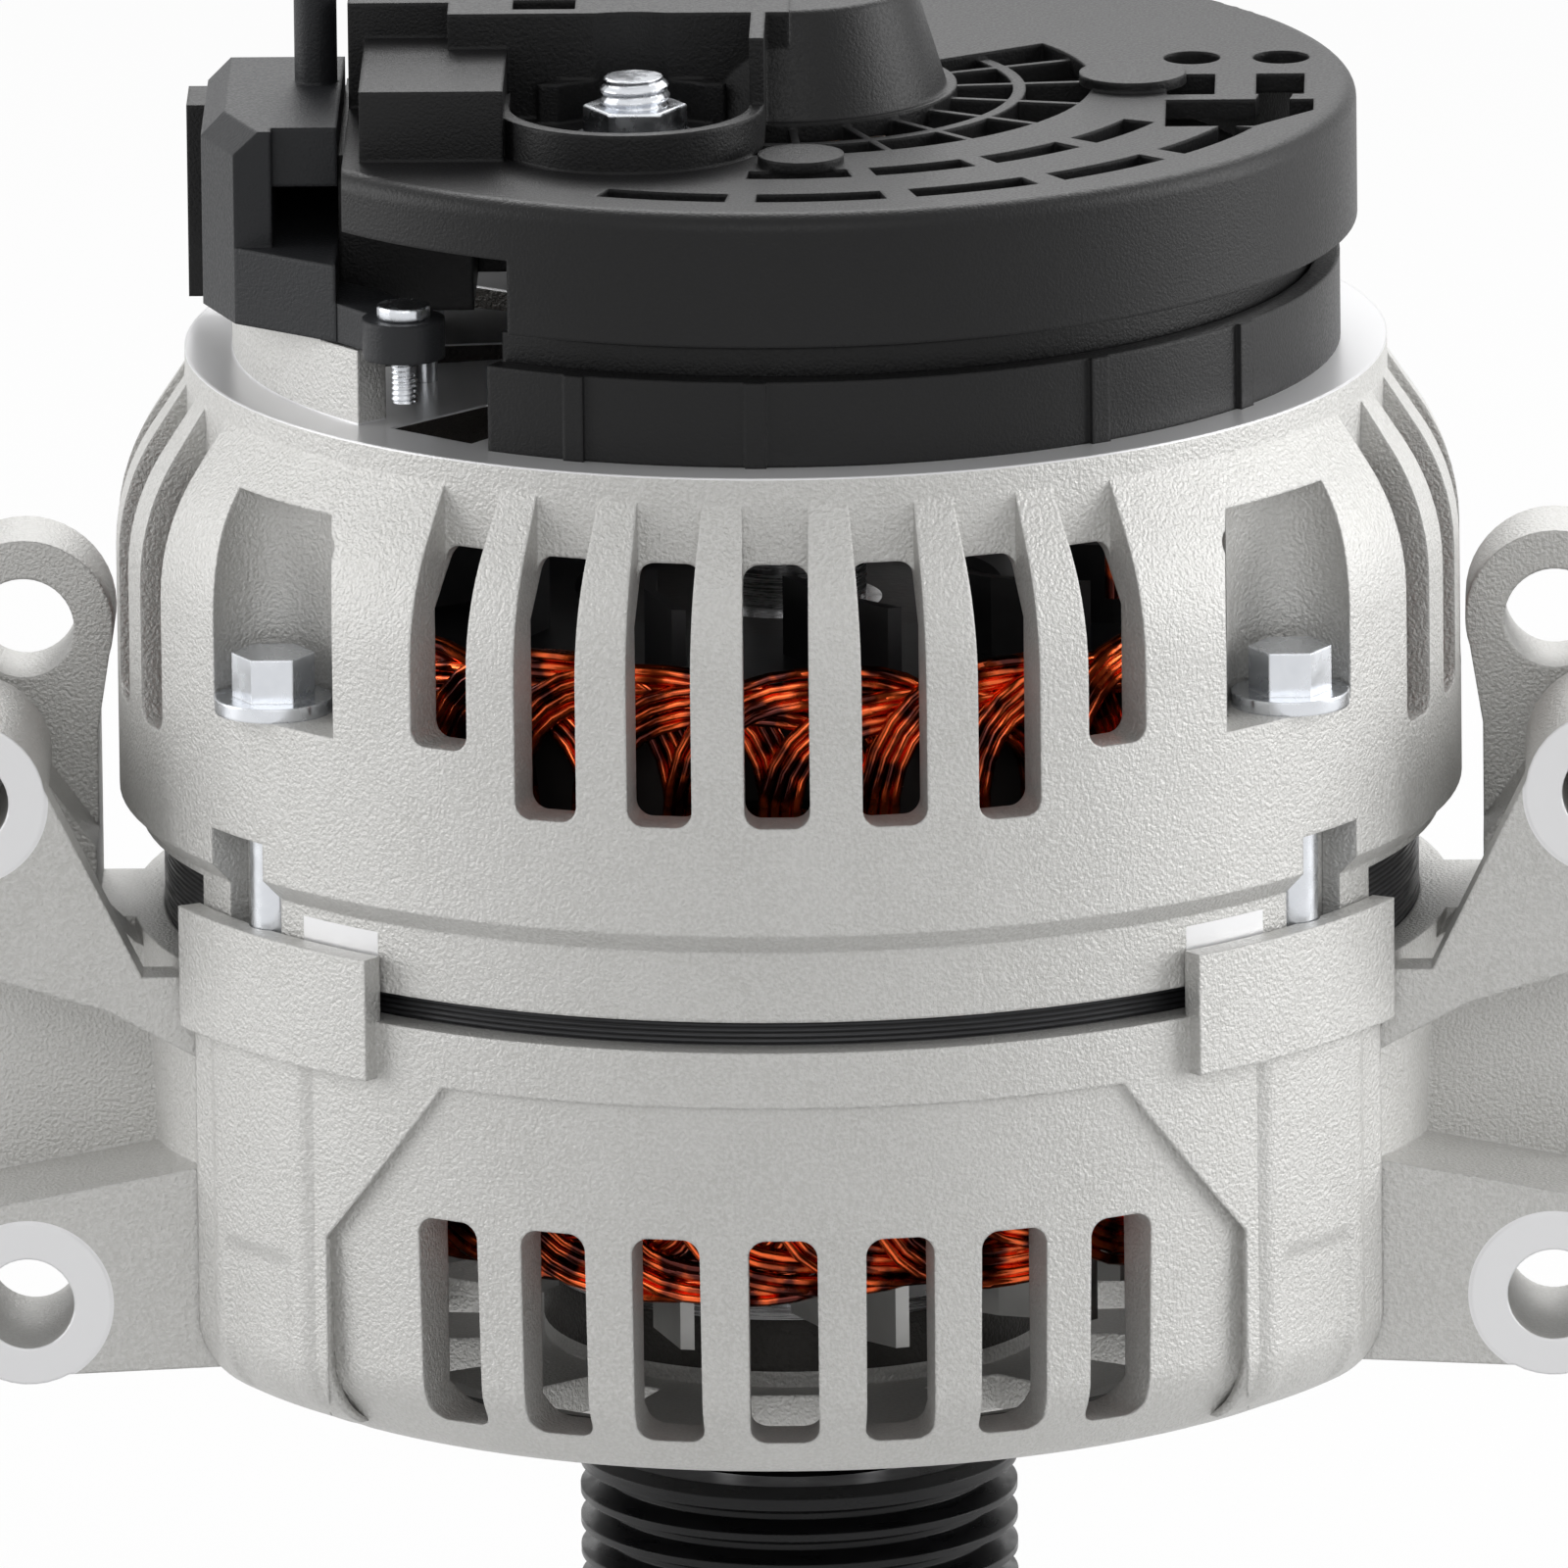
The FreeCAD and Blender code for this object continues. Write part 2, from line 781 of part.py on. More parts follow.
def make_bearing(end, shaft_r, outer_r, bottom, width, ball_r, count):
    """A deep groove ball bearing: races with tracks, balls, cage."""
    middle = bottom + width / 2
    pitch_r = (shaft_r + outer_r) / 2
    track_r = ball_r + s.slip
    inner = stack(end + "_bearing_inner", [
        (shaft_r + s.slip, bottom), (pitch_r - ball_r + s.track_sink, bottom),
        (pitch_r - ball_r + s.track_sink, bottom + width), (shaft_r + s.slip, bottom + width)])
    outer = stack(end + "_bearing_outer", [
        (pitch_r + ball_r - s.track_sink, bottom), (outer_r, bottom),
        (outer_r, bottom + width), (pitch_r + ball_r - s.track_sink, bottom + width)])
    for race in (inner, outer):
        race.groove(circle(race.draw("XZ_Plane"), pitch_r, middle, track_r))
    balls = Piece(end + "_bearing_balls")
    half = balls.draw("XZ_Plane", pitch_r)
    rim = half.addGeometry(Part.ArcOfCircle(
        Part.Circle(Vector(0, float(middle), 0), Vector(0, 0, 1), float(ball_r)),
        -math.pi / 2, math.pi / 2), False)
    chord = half.addGeometry(Part.LineSegment(
        Vector(0, float(middle + ball_r), 0), Vector(0, float(middle - ball_r), 0)), False)
    half.addConstraint(Sketcher.Constraint("Coincident", rim, 2, chord, 1))
    half.addConstraint(Sketcher.Constraint("Coincident", rim, 1, chord, 2))
    half.addConstraint(Sketcher.Constraint("PointOnObject", rim, 3, chord))
    hold(half, "DistanceX", rim, 3, 0)
    hold(half, "DistanceY", rim, 3, middle)
    hold(half, "DistanceX", rim, 1, 0)
    place = half.addConstraint(Sketcher.Constraint("Radius", rim, float(ball_r)))
    half.setExpression("Constraints[%d]" % place, formula(ball_r))
    balls.polar([balls.spin(half)], count, grows=True)
    cage = ring(end + "_bearing_cage", pitch_r - s.cage_wall / 2, pitch_r + s.cage_wall / 2,
                middle - ball_r * s.cage_reach, ball_r * s.cage_reach * 2)
    hole = circle(cage.draw("XZ_Plane", pitch_r - ball_r), 0, middle, ball_r + s.seat_gap)
    cage.polar([cage.cut(hole, ball_r * 2)], count)


def make_rotor():
    """Two claw poles that mesh round the coil, with a pressed fan on each outer face."""
    top = s.rotor_z + s.rotor_length
    middle = s.rotor_z + s.rotor_length / 2
    for name, base, way, turn in (("claw_pole_front", s.rotor_z, 1, 0.0),
                                  ("claw_pole_rear", top, -1, 180.0 / s.pole_count)):
        pole = Piece(name)
        reach = s.pole_disc * way
        pole.spin(outline(pole.draw("XZ_Plane"), [
            (s.core_seat_r + s.slip, base), (s.pole_root_r + s.pole_disc / 2, base),
            (s.pole_root_r + s.pole_disc / 2, base + reach), (s.core_hub_r, base + reach),
            (s.core_hub_r, middle), (s.core_seat_r + s.slip, middle)]))
        root = outline(pole.draw("XY_Plane", base, turn), [
            (-s.claw_root_half, -s.rotor_r + s.claw_root_depth + s.pole_disc / 2),
            (s.claw_root_half, -s.rotor_r + s.claw_root_depth + s.pole_disc / 2),
            (s.claw_root_half, -s.rotor_r), (-s.claw_root_half, -s.rotor_r)])
        shelf = outline(pole.draw("XY_Plane", base + reach, turn), [
            (-s.claw_root_half, -s.rotor_r + s.claw_root_depth),
            (s.claw_root_half, -s.rotor_r + s.claw_root_depth),
            (s.claw_root_half, -s.rotor_r), (-s.claw_root_half, -s.rotor_r)])
        tip = outline(pole.draw("XY_Plane", base + (s.pole_disc + s.claw_length) * way, turn), [
            (-s.claw_tip_half, -s.rotor_r + s.claw_tip_depth),
            (s.claw_tip_half, -s.rotor_r + s.claw_tip_depth),
            (s.claw_tip_half, -s.rotor_r), (-s.claw_tip_half, -s.rotor_r)])
        claw = pole.feature("AdditiveLoft", True)
        claw.Profile = root
        claw.Sections = [shelf, tip]
        claw.Ruled = True
        pole.polar([claw], s.pole_count, grows=True)
        spare_r = s.rotor_r + s.claw_root_half
        trim = outline(pole.draw("XZ_Plane"), [
            (s.rotor_r, s.rotor_z - s.pole_disc), (spare_r, s.rotor_z - s.pole_disc),
            (spare_r, top + s.pole_disc), (s.rotor_r, top + s.pole_disc)])
        pole.groove(trim)
    window = s.rotor_length - 2 * s.pole_disc
    bobbin = stack("coil_bobbin", [
        (s.core_hub_r + s.slip, s.rotor_z + s.pole_disc),
        (s.coil_r + s.bobbin_wall, s.rotor_z + s.pole_disc),
        (s.coil_r + s.bobbin_wall, s.rotor_z + s.pole_disc + s.bobbin_wall),
        (s.core_hub_r + s.bobbin_wall, s.rotor_z + s.pole_disc + s.bobbin_wall),
        (s.core_hub_r + s.bobbin_wall, top - s.pole_disc - s.bobbin_wall),
        (s.coil_r + s.bobbin_wall, top - s.pole_disc - s.bobbin_wall),
        (s.coil_r + s.bobbin_wall, top - s.pole_disc),
        (s.core_hub_r + s.slip, top - s.pole_disc)])
    ring("field_coil", s.core_hub_r + s.bobbin_wall + s.slip, s.coil_r,
         s.rotor_z + s.pole_disc + s.bobbin_wall, window - 2 * s.bobbin_wall)
    for name, base, way in (("front_fan", s.rotor_z, -1), ("rear_fan", top, 1)):
        fan = ring(name, s.fan_hole_r, s.fan_r, base, s.fan_sheet * way)
        blade = outline(fan.draw("XY_Plane", base + s.fan_sheet * way), [
            (0, -s.blade_inner_r), (s.fan_sheet, -s.blade_inner_r),
            (s.fan_sheet * (s.blade_sweep + 1), -(s.blade_inner_r + s.fan_r) / 2),
            (s.fan_sheet * (s.blade_tip_sweep + 1), -s.fan_r * s.blade_tip),
            (s.fan_sheet * s.blade_tip_sweep, -s.fan_r * s.blade_heel),
            (s.fan_sheet * s.blade_sweep, -(s.blade_inner_r + s.fan_r) / 2)])
        vane = fan.pad(blade, s.blade_height, back=way < 0)
        fan.polar([vane], s.blade_count, grows=True)


def make_slip_rings():
    """A moulded sleeve on the shaft's end with the two rings that the brushes run on."""
    base = s.slip_ring_z - s.slip_sleeve
    top = s.slip_ring_z + s.slip_ring_step + s.slip_ring_width
    bore_r = s.slip_core_r - s.slip_sleeve / 2 + s.slip
    mid_z = s.slip_ring_z + s.slip_ring_width
    piece = stack("slip_ring_sleeve", [
        (bore_r, base), (s.slip_ring_r - s.slip, base),
        (s.slip_ring_r - s.slip, s.slip_ring_z), (s.slip_core_r, s.slip_ring_z),
        (s.slip_core_r, mid_z), (s.slip_ring_r - s.seat_gap, mid_z),
        (s.slip_ring_r - s.seat_gap, s.slip_ring_z + s.slip_ring_step),
        (s.slip_core_r, s.slip_ring_z + s.slip_ring_step),
        (s.slip_core_r, top), (bore_r, top)])
    ring("slip_ring_inner", s.slip_core_r + s.slip, s.slip_ring_r, s.slip_ring_z, s.slip_ring_width)
    ring("slip_ring_outer", s.slip_core_r + s.slip, s.slip_ring_r,
         s.slip_ring_z + s.slip_ring_step, s.slip_ring_width)
    return piece


def make_stator():
    core = ring("stator_core", s.core_bore_r, s.core_r, s.core_z, s.core_length)
    core.cut(circles_at_bolts(core, s.core_z, s.bolt_hole_r + s.air_gap), s.core_length)
    mouth = box(core.draw("XZ_Plane", s.core_bore_r - s.slot_lip), -s.slot_mouth_half, s.core_z,
                s.slot_mouth_half, s.core_z + s.core_length)
    throat = core.cut(mouth, s.slot_lip * s.overcut)
    deep = box(core.draw("XZ_Plane", s.core_bore_r + s.slot_lip), -s.slot_half, s.core_z,
               s.slot_half, s.core_z + s.core_length)
    slot = core.cut(deep, s.slot_bottom_r - s.core_bore_r - s.slot_lip)
    core.polar([throat, slot], s.slot_count)
    bars = Piece("slot_conductors")
    bar = box(bars.draw("XZ_Plane", s.core_bore_r + s.slot_lip + s.seat_gap), -s.slot_half + s.seat_gap,
              s.core_z, s.slot_half - s.seat_gap, s.core_z + s.core_length)
    first = bars.pad(bar, s.slot_bottom_r - s.core_bore_r - s.slot_lip - s.seat_gap * 2)
    bars.polar([first], s.slot_count, grows=True)
    for name, edge, height in (("winding_front_head", s.core_z, -s.front_head_height),
                               ("winding_rear_head", s.core_z + s.core_length, s.rear_head_height)):
        stack(name, [
            (s.core_bore_r + s.slot_lip * 2, edge), (s.slot_bottom_r, edge),
            (s.head_outer_r, edge + height * s.head_foot), (s.head_outer_r, edge + height * s.head_brow),
            (s.head_outer_r - s.slot_lip * 2, edge + height),
            (s.head_inner_r, edge + height), (s.head_inner_r, edge + height * s.head_foot)])


def make_drive_housing():
    """The slotted nose casting with its bolt columns and mounting ears."""
    piece = stack("drive_end_housing", [
        (s.column_inner_r, s.column_z), (s.band_r, s.column_z),
        (s.band_r, s.drive_top_z), (s.column_inner_r, s.drive_top_z)], {1: s.column_round})
    panel = outline(piece.draw("XZ_Plane", -s.collar_r), [
        (-s.panel_top_half, s.panel_z), (s.panel_top_half, s.panel_z),
        (s.panel_foot_half, s.panel_corner_z), (s.panel_foot_half, s.nose_z),
        (-s.panel_foot_half, s.nose_z), (-s.panel_foot_half, s.panel_corner_z)])
    piece.cut(panel, s.collar_r * 2)
    flank = box(piece.draw("YZ_Plane", -s.collar_r), -s.flank_half, s.nose_z, s.flank_half, s.panel_z)
    piece.cut(flank, s.collar_r * 2)
    piece.spin(outline(piece.draw("XZ_Plane"), [
        (s.boss_lip_r, s.front_bearing_z - s.boss_lip),
        (s.front_bearing_r + s.boss_wall, s.front_bearing_z - s.boss_lip),
        (s.front_bearing_r + s.boss_wall, s.nose_z),
        (s.nose_r, s.nose_z),
        (s.knee_r, s.knee_z),
        (s.drive_r - s.panel_draft, s.knee_z + s.knee_round),
        (s.drive_r, s.panel_z),
        (s.drive_r, s.drive_top_z),
        (s.core_r + s.slip, s.drive_top_z),
        (s.core_r + s.slip, s.core_z),
        (s.drive_r - s.drive_wall, s.core_z),
        (s.drive_r - s.drive_wall, s.knee_z + s.nose_plate * 2),
        (s.knee_r - s.nose_plate, s.knee_z + s.nose_plate),
        (s.nose_r - s.nose_plate, s.nose_z + s.nose_plate),
        (s.front_bearing_r + s.boss_wall, s.nose_z + s.nose_plate),
        (s.front_bearing_r + s.boss_wall, s.front_bearing_z + s.front_bearing_width),
        (s.front_bearing_r + s.slip, s.front_bearing_z + s.front_bearing_width),
        (s.front_bearing_r + s.slip, s.front_bearing_z),
        (s.boss_lip_r, s.front_bearing_z),
    ], {4: s.knee_round, 5: s.knee_round}), 360.0)
    span = s.collar_end_deg - s.collar_start_deg
    collar = box(piece.draw("XZ_Plane", 0.0, s.collar_start_deg - 90.0), s.core_r + s.collar_seat,
                 s.panel_z, s.collar_r, s.collar_z)
    piece.repeat_at([piece.spin(collar, span)], four_starts(s.collar_start_deg, span), grows=True)
    make_ears(piece)
    piece.groove(outline(piece.draw("XZ_Plane"), [
        (s.front_bearing_r + s.boss_wall, s.knee_z + s.nose_plate * 2),
        (s.drive_r - s.drive_wall, s.knee_z + s.nose_plate * 2), (s.drive_r - s.drive_wall, s.core_z),
        (s.core_r + s.slip, s.core_z), (s.core_r + s.slip, s.drive_top_z), (s.collar_inner_r, s.drive_top_z),
        (s.collar_inner_r, s.collar_z), (s.front_bearing_r + s.boss_wall, s.collar_z)]))
    piece.cut(circles_at_bolts(piece, s.column_z + s.nose_plate, s.bolt_hole_r), s.collar_z - s.column_z)
    inlet = outline(piece.draw("XY_Plane", s.nose_z), [
        (-s.inlet_half, -s.inlet_inner_r), (s.inlet_half, -s.inlet_inner_r),
        (s.inlet_outer_half, -s.inlet_outer_r), (-s.inlet_outer_half, -s.inlet_outer_r)])
    piece.polar([piece.cut(inlet, s.nose_plate)], s.inlet_count)
    recess = box(piece.draw("XZ_Plane", s.band_r - s.recess_depth, s.recess_deg), -s.recess_half, s.column_z,
                 s.recess_half, s.recess_top_z)
    piece.repeat_at([piece.cut(recess, s.recess_depth * s.overcut)], four_starts(s.recess_deg, 0.0))
    angles = slot_angles(s.drive_slot_count, s.side_slot_count, s.drive_slot_pitch_deg, s.side_slot_deg)
    slot = box(piece.draw("XZ_Plane", s.nose_r + s.nose_plate, angles[0]),
               -s.drive_slot_half, s.drive_slot_z, s.drive_slot_half, s.drive_slot_top_z,
               rounds=s.drive_slot_round)
    piece.repeat_at([piece.cut(slot, s.collar_r - s.nose_r)], angles)


def slot_angles(front, side, pitch, side_middle):
    """Angles of slots in four groups: front, right, back and left."""
    angles = []
    for middle, count in ((0.0, front), (side_middle, side), (180.0, front), (360.0 - side_middle, side)):
        first = middle - pitch * (float(count) - 1) / 2
        angles += [first + pitch * step for step in range(int(float(count)))]
    return angles


def make_ears(piece):
    """Lower arm, back web, front plate, two bored bosses and an eye tab, mirrored to the other side."""
    back_y = s.ear_front_y - s.ear_length
    root_x = s.drive_r * cosine(s.arm_root_deg)
    low_x = s.low_ear_x
    mid_x = s.mid_ear_x
    edge = s.ear_r * s.ear_edge
    stem_x = root_x + s.ear_r * s.arm_corner
    skin_x = s.drive_r + s.web_thickness * s.web_lap
    web = outline(piece.draw("XZ_Plane", back_y), [
        (root_x, s.arm_bottom_z), (low_x, s.arm_bottom_z), (low_x + s.ear_r * s.web_corner, s.low_ear_z),
        (mid_x + edge, s.mid_ear_z), (mid_x, s.mid_ear_z + edge),
        (s.drive_r + s.ear_r, s.plate_knee_z + s.ear_r), (s.drive_r - s.slip, s.plate_knee_z),
        (root_x, s.plate_foot_z)])
    parts = [piece.pad(web, s.web_thickness)]
    arm = outline(piece.draw("XZ_Plane", back_y), [
        (root_x - s.ear_r, s.arm_bottom_z), (low_x, s.low_ear_z - edge),
        (low_x + edge, s.low_ear_z), (low_x + s.ear_r * s.arm_corner, s.arm_top_z - s.ear_r * s.arm_drop),
        (root_x, s.arm_top_z), (root_x - s.ear_r, s.arm_top_z)])
    parts.append(piece.pad(arm, s.ear_length - s.slip))
    plate = outline(piece.draw("XZ_Plane", s.ear_front_y - s.slip), [
        (root_x - s.ear_r, s.plate_foot_z - s.plate_thickness * 2), (root_x + s.ear_r, s.plate_foot_z),
        (mid_x - s.ear_r * s.plate_heel, s.plate_knee_z), (mid_x + edge, s.mid_ear_z),
        (mid_x, s.mid_ear_z + edge), (mid_x - s.ear_r * s.plate_edge, s.mid_ear_z + s.plate_thickness),
        (s.drive_r - s.plate_lap, s.plate_knee_z), (root_x - s.ear_r, s.plate_knee_z)])
    parts.append(piece.pad(plate, s.plate_thickness, back=True))
    for x, z in ((low_x, s.low_ear_z), (mid_x, s.mid_ear_z)):
        boss = circle(piece.draw("XZ_Plane", back_y), x, z, s.ear_r)
        parts.append(piece.pad(boss, s.ear_length))
    tab = circle(piece.draw("XZ_Plane", -s.tab_depth), s.tab_x, s.tab_z, s.tab_r)
    parts.append(piece.pad(tab, s.tab_depth))
    stem = outline(piece.draw("XZ_Plane", -s.tab_depth), [
        (stem_x, s.arm_top_z), (mid_x, s.arm_top_z + s.tab_r),
        (mid_x + s.tab_r * s.tab_neck, s.mid_ear_z), (s.tab_x + s.tab_r, s.tab_z), (s.tab_x - s.tab_r, s.tab_z),
        (skin_x, s.mid_ear_z), (skin_x, s.drive_top_z),
        (stem_x, s.drive_top_z)])
    parts.append(piece.pad(stem, s.tab_depth))
    bridge = outline(piece.draw("XZ_Plane", 0.0), [
        (stem_x, s.arm_top_z), (mid_x, s.arm_top_z + s.tab_r),
        (mid_x + s.tab_r * s.tab_neck, s.mid_ear_z), (mid_x, s.mid_ear_z + edge),
        (skin_x, s.plate_knee_z + s.ear_r),
        (skin_x, s.drive_top_z), (stem_x, s.drive_top_z)])
    parts.append(piece.pad(bridge, back_y))
    piece.mirror(parts, grows=True)
    drills = []
    for x, z in ((low_x, s.low_ear_z), (mid_x, s.mid_ear_z)):
        drills.append(piece.cut(circle(piece.draw("XZ_Plane", back_y), x, z, s.ear_hole_r), s.ear_length))
    eye = circle(piece.draw("XZ_Plane", -s.tab_depth), s.tab_x, s.tab_z, s.tab_hole_r)
    drills.append(piece.cut(eye, s.tab_depth))
    piece.mirror(drills)


def make_rear_housing():
    """The ribbed dome: rounded ribs stand between windows that run up into channels."""
    inner_r = s.rear_r - s.rear_wall
    top_in = s.rear_top_z - s.end_wall
    boss_r = s.rear_bearing_r + s.sleeve_wall + s.rear_boss_wall
    bore_r = s.rear_bearing_r + s.sleeve_wall + s.slip
    piece = stack("rear_housing", [
        (s.core_r + s.slip, s.rear_bottom_z), (s.rear_band_r, s.rear_bottom_z),
        (s.rear_band_r, s.rear_band_z), (s.rear_r, s.rear_band_z + s.rear_r - s.rear_band_r),
        (s.rear_r, s.dome_knee_z), (s.flange_r, s.flange_z), (s.flange_r, s.rear_top_z),
        (bore_r, s.rear_top_z), (bore_r, s.rear_bearing_z - s.rear_bore_lip),
        (boss_r, s.rear_bearing_z - s.rear_bore_lip), (boss_r, top_in),
        (s.flange_r - s.rear_wall, top_in), (inner_r, s.dome_knee_z - s.rear_wall / 3),
        (inner_r, s.core_z + s.core_length), (s.core_r + s.slip, s.core_z + s.core_length),
    ], {4: s.dome_round / 2})
    column_r = s.bolt_circle_r - s.slot_bottom_r - s.bolt_wall_gap
    piece.pad(circles_at_bolts(piece, s.rear_bottom_z, column_r), s.flange_z - s.rear_bottom_z)
    reach_r = s.bolt_circle_r + column_r * 2
    piece.groove(outline(piece.draw("XZ_Plane"), [
        (s.rear_band_r, s.rear_bottom_z), (reach_r, s.rear_bottom_z), (reach_r, s.flange_z),
        (s.flange_r, s.flange_z), (s.rear_r, s.dome_knee_z),
        (s.rear_r, s.rear_band_z + s.rear_r - s.rear_band_r), (s.rear_band_r, s.rear_band_z)],
        {4: s.dome_round / 2}))
    piece.groove(box(piece.draw("XZ_Plane"), 0, s.rear_bottom_z, s.core_r + s.slip, s.core_z + s.core_length))
    piece.cut(circles_at_bolts(piece, s.rear_bottom_z, s.bolt_hole_r), s.bolt_seat_z - s.rear_bottom_z)
    pocket_height = s.bolt_pocket_top_z - s.bolt_seat_z
    piece.cut(circles_at_bolts(piece, s.bolt_seat_z, s.bolt_pocket_r), pocket_height)
    ways = piece.draw("XY_Plane", s.bolt_seat_z)
    for x, y in bolt_places():
        end = 1 if float(y) > 0 else -1
        box(ways, x - s.bolt_pocket_r, y, x + s.bolt_pocket_r, y + s.rear_r * end)
    piece.cut(ways, pocket_height)
    notch = box(piece.draw("XZ_Plane", s.core_r, s.notch_deg), -s.notch_half, s.rear_bottom_z, s.notch_half,
                s.notch_top_z)
    piece.repeat_at([piece.cut(notch, s.rear_r - s.core_r)], four_starts(s.notch_deg, 0.0))
    flank_x = s.core_r * cosine(s.flank_half_deg)
    flank = box(piece.draw("YZ_Plane", flank_x), -s.core_r * sine(s.flank_half_deg), s.rear_bottom_z,
                s.core_r * sine(s.flank_half_deg), s.rear_side_z)
    piece.mirror([piece.cut(flank, s.rear_r)])
    vent = outline(piece.draw("XY_Plane", top_in), [
        (-s.vent_inner_half, -s.vent_inner_r), (s.vent_inner_half, -s.vent_inner_r),
        (s.vent_half, -s.vent_outer_r), (-s.vent_half, -s.vent_outer_r)])
    piece.polar([piece.cut(vent, s.end_wall)], s.vent_count)
    tower = box(piece.draw("XZ_Plane", 0.0, s.tower_start_deg - 90.0), s.tower_r - s.tower_wall,
                s.rear_top_z, s.tower_r, s.tower_z)
    piece.spin(tower, s.tower_span_deg)
    pitch = s.rear_slot_pitch_deg
    tall = slot_angles(s.rear_slot_count, s.rear_slot_count, pitch, 90.0)
    short = four_starts(pitch * (s.rear_slot_count + 1) / 2, 0.0)
    corner = four_starts(s.corner_slot_deg, 0.0)
    for angles, foot in ((tall, s.rear_slot_z), (short, s.rear_short_z), (corner, s.corner_slot_z)):
        window = box(piece.draw("XZ_Plane", s.head_inner_r, angles[0]), -s.rear_slot_half, foot,
                     s.rear_slot_half, s.rear_slot_top_z, rounds=s.rear_slot_round)
        channel = box(piece.draw("XZ_Plane", s.rear_channel_r, angles[0]), -s.rear_slot_half,
                      s.rear_slot_top_z - s.rear_slot_half, s.rear_slot_half, s.flange_z)
        cuts = [piece.cut(window, s.rear_r - s.head_inner_r)]
        if angles is not corner:
            cuts.append(piece.cut(channel, s.rear_r - s.rear_channel_r))
        piece.repeat_at(cuts, angles)


def make_through_bolts():
    piece = Piece("through_bolts")
    piece.pad(circles_at_bolts(piece, s.bolt_foot_z, s.bolt_r), s.bolt_seat_z - s.bolt_foot_z)
    piece.pad(circles_at_bolts(piece, s.bolt_seat_z, s.bolt_flange_r), s.bolt_flange)
    head = piece.draw("XY_Plane", s.bolt_seat_z + s.bolt_flange)
    for x, y in bolt_places():
        hexagon(head, s.bolt_head_flats, x, y)
    piece.pad(head, s.bolt_head)


def make_front_retainer():
    """A plate under four screws that keeps the front bearing in its boss, and the bearing's shields."""
    top = s.front_bearing_z + s.front_bearing_width
    outer_r = s.front_bearing_r + s.boss_wall
    plate = ring("bearing_retainer", s.front_bearing_r - s.race_wall, outer_r, top, s.retainer)
    places = s.front_bearing_r + s.boss_wall / 2
    hole = circle(plate.draw("XY_Plane", top), 0, -places, s.retainer_screw_r + s.slip)
    plate.polar([plate.cut(hole, s.retainer)], s.retainer_screw_count)
    screws = Piece("retainer_screws")
    shank = circle(screws.draw("XY_Plane", top), 0, -places, s.retainer_screw_r)
    head = circle(screws.draw("XY_Plane", top + s.retainer), 0, -places, s.retainer_head_r)
    parts = [screws.pad(shank, s.retainer), screws.pad(head, s.retainer)]
    screws.polar(parts, s.retainer_screw_count, grows=True)


CARRIER_RIBS_DEG = (-21.0, -2.0, 35.0, 56.0, 112.0, 170.0)


def make_rectifier():
    """Two crescent heat sinks with press-fit diodes, held in the black terminal carrier."""
    start = s.sink_start_deg - 90.0
    low = s.rear_top_z
    for name, base in (("negative_heat_sink", low), ("positive_heat_sink", s.upper_sink_z)):
        sink = ring(name, s.sink_inner_r, s.sink_outer_r, base, s.sink_thickness, s.sink_span_deg, start)
        first = circle(sink.draw("XY_Plane", base, s.sink_start_deg + s.diode_margin_deg),
                       0, -s.diode_circle_r, s.diode_r + s.slip)
        gap = s.sink_span_deg - s.diode_margin_deg * 2
        sink.polar([sink.cut(first, s.sink_thickness)], s.diode_count, gap)
        diodes = Piece("diodes_" + name.split("_")[0])
        can = circle(diodes.draw("XY_Plane", base, s.sink_start_deg + s.diode_margin_deg), 0,
                     -s.diode_circle_r, s.diode_r)
        parts = [diodes.pad(can, s.diode_height)]
        lead = circle(diodes.draw("XY_Plane", base + s.diode_height, s.sink_start_deg + s.diode_margin_deg),
                      0, -s.diode_circle_r, s.lead_r)
        parts.append(diodes.pad(lead, s.diode_lead))
        diodes.polar(parts, s.diode_count, gap, grows=True)
    carrier_start = s.carrier_start_deg - 90.0
    piece = ring("terminal_carrier", s.carrier_r - s.carrier_wall, s.carrier_r, low, s.carrier_height,
                 s.carrier_span_deg, carrier_start)
    web = box(piece.draw("XZ_Plane", 0.0, carrier_start), s.sink_outer_r + s.seat_gap, low + s.carrier_web,
              s.carrier_r - s.carrier_wall / 2, low + s.carrier_web + s.carrier_wall)
    piece.spin(web, s.carrier_span_deg)
    tier = box(piece.draw("XZ_Plane", 0.0, carrier_start), s.tier_r - s.carrier_wall,
               low + s.carrier_web, s.tier_r, low + s.carrier_height + s.tier_height)
    piece.spin(tier, s.carrier_span_deg)
    for angle in CARRIER_RIBS_DEG:
        rib = box(piece.draw("XZ_Plane", s.carrier_r - s.carrier_wall / 2, angle), -s.carrier_rib, low,
                  s.carrier_rib, low + s.carrier_height)
        piece.pad(rib, s.carrier_wall / 2 + s.carrier_rib / 2)
    spacers = Piece("sink_spacers")
    post = circle(spacers.draw("XY_Plane", low + s.sink_thickness, s.sink_start_deg + s.post_margin_deg), 0,
                  -s.post_circle_r, s.post_r)
    column = spacers.pad(post, s.upper_sink_z - low - s.sink_thickness)
    spacers.polar([column], s.post_count, s.sink_span_deg - s.post_margin_deg * 2, grows=True)


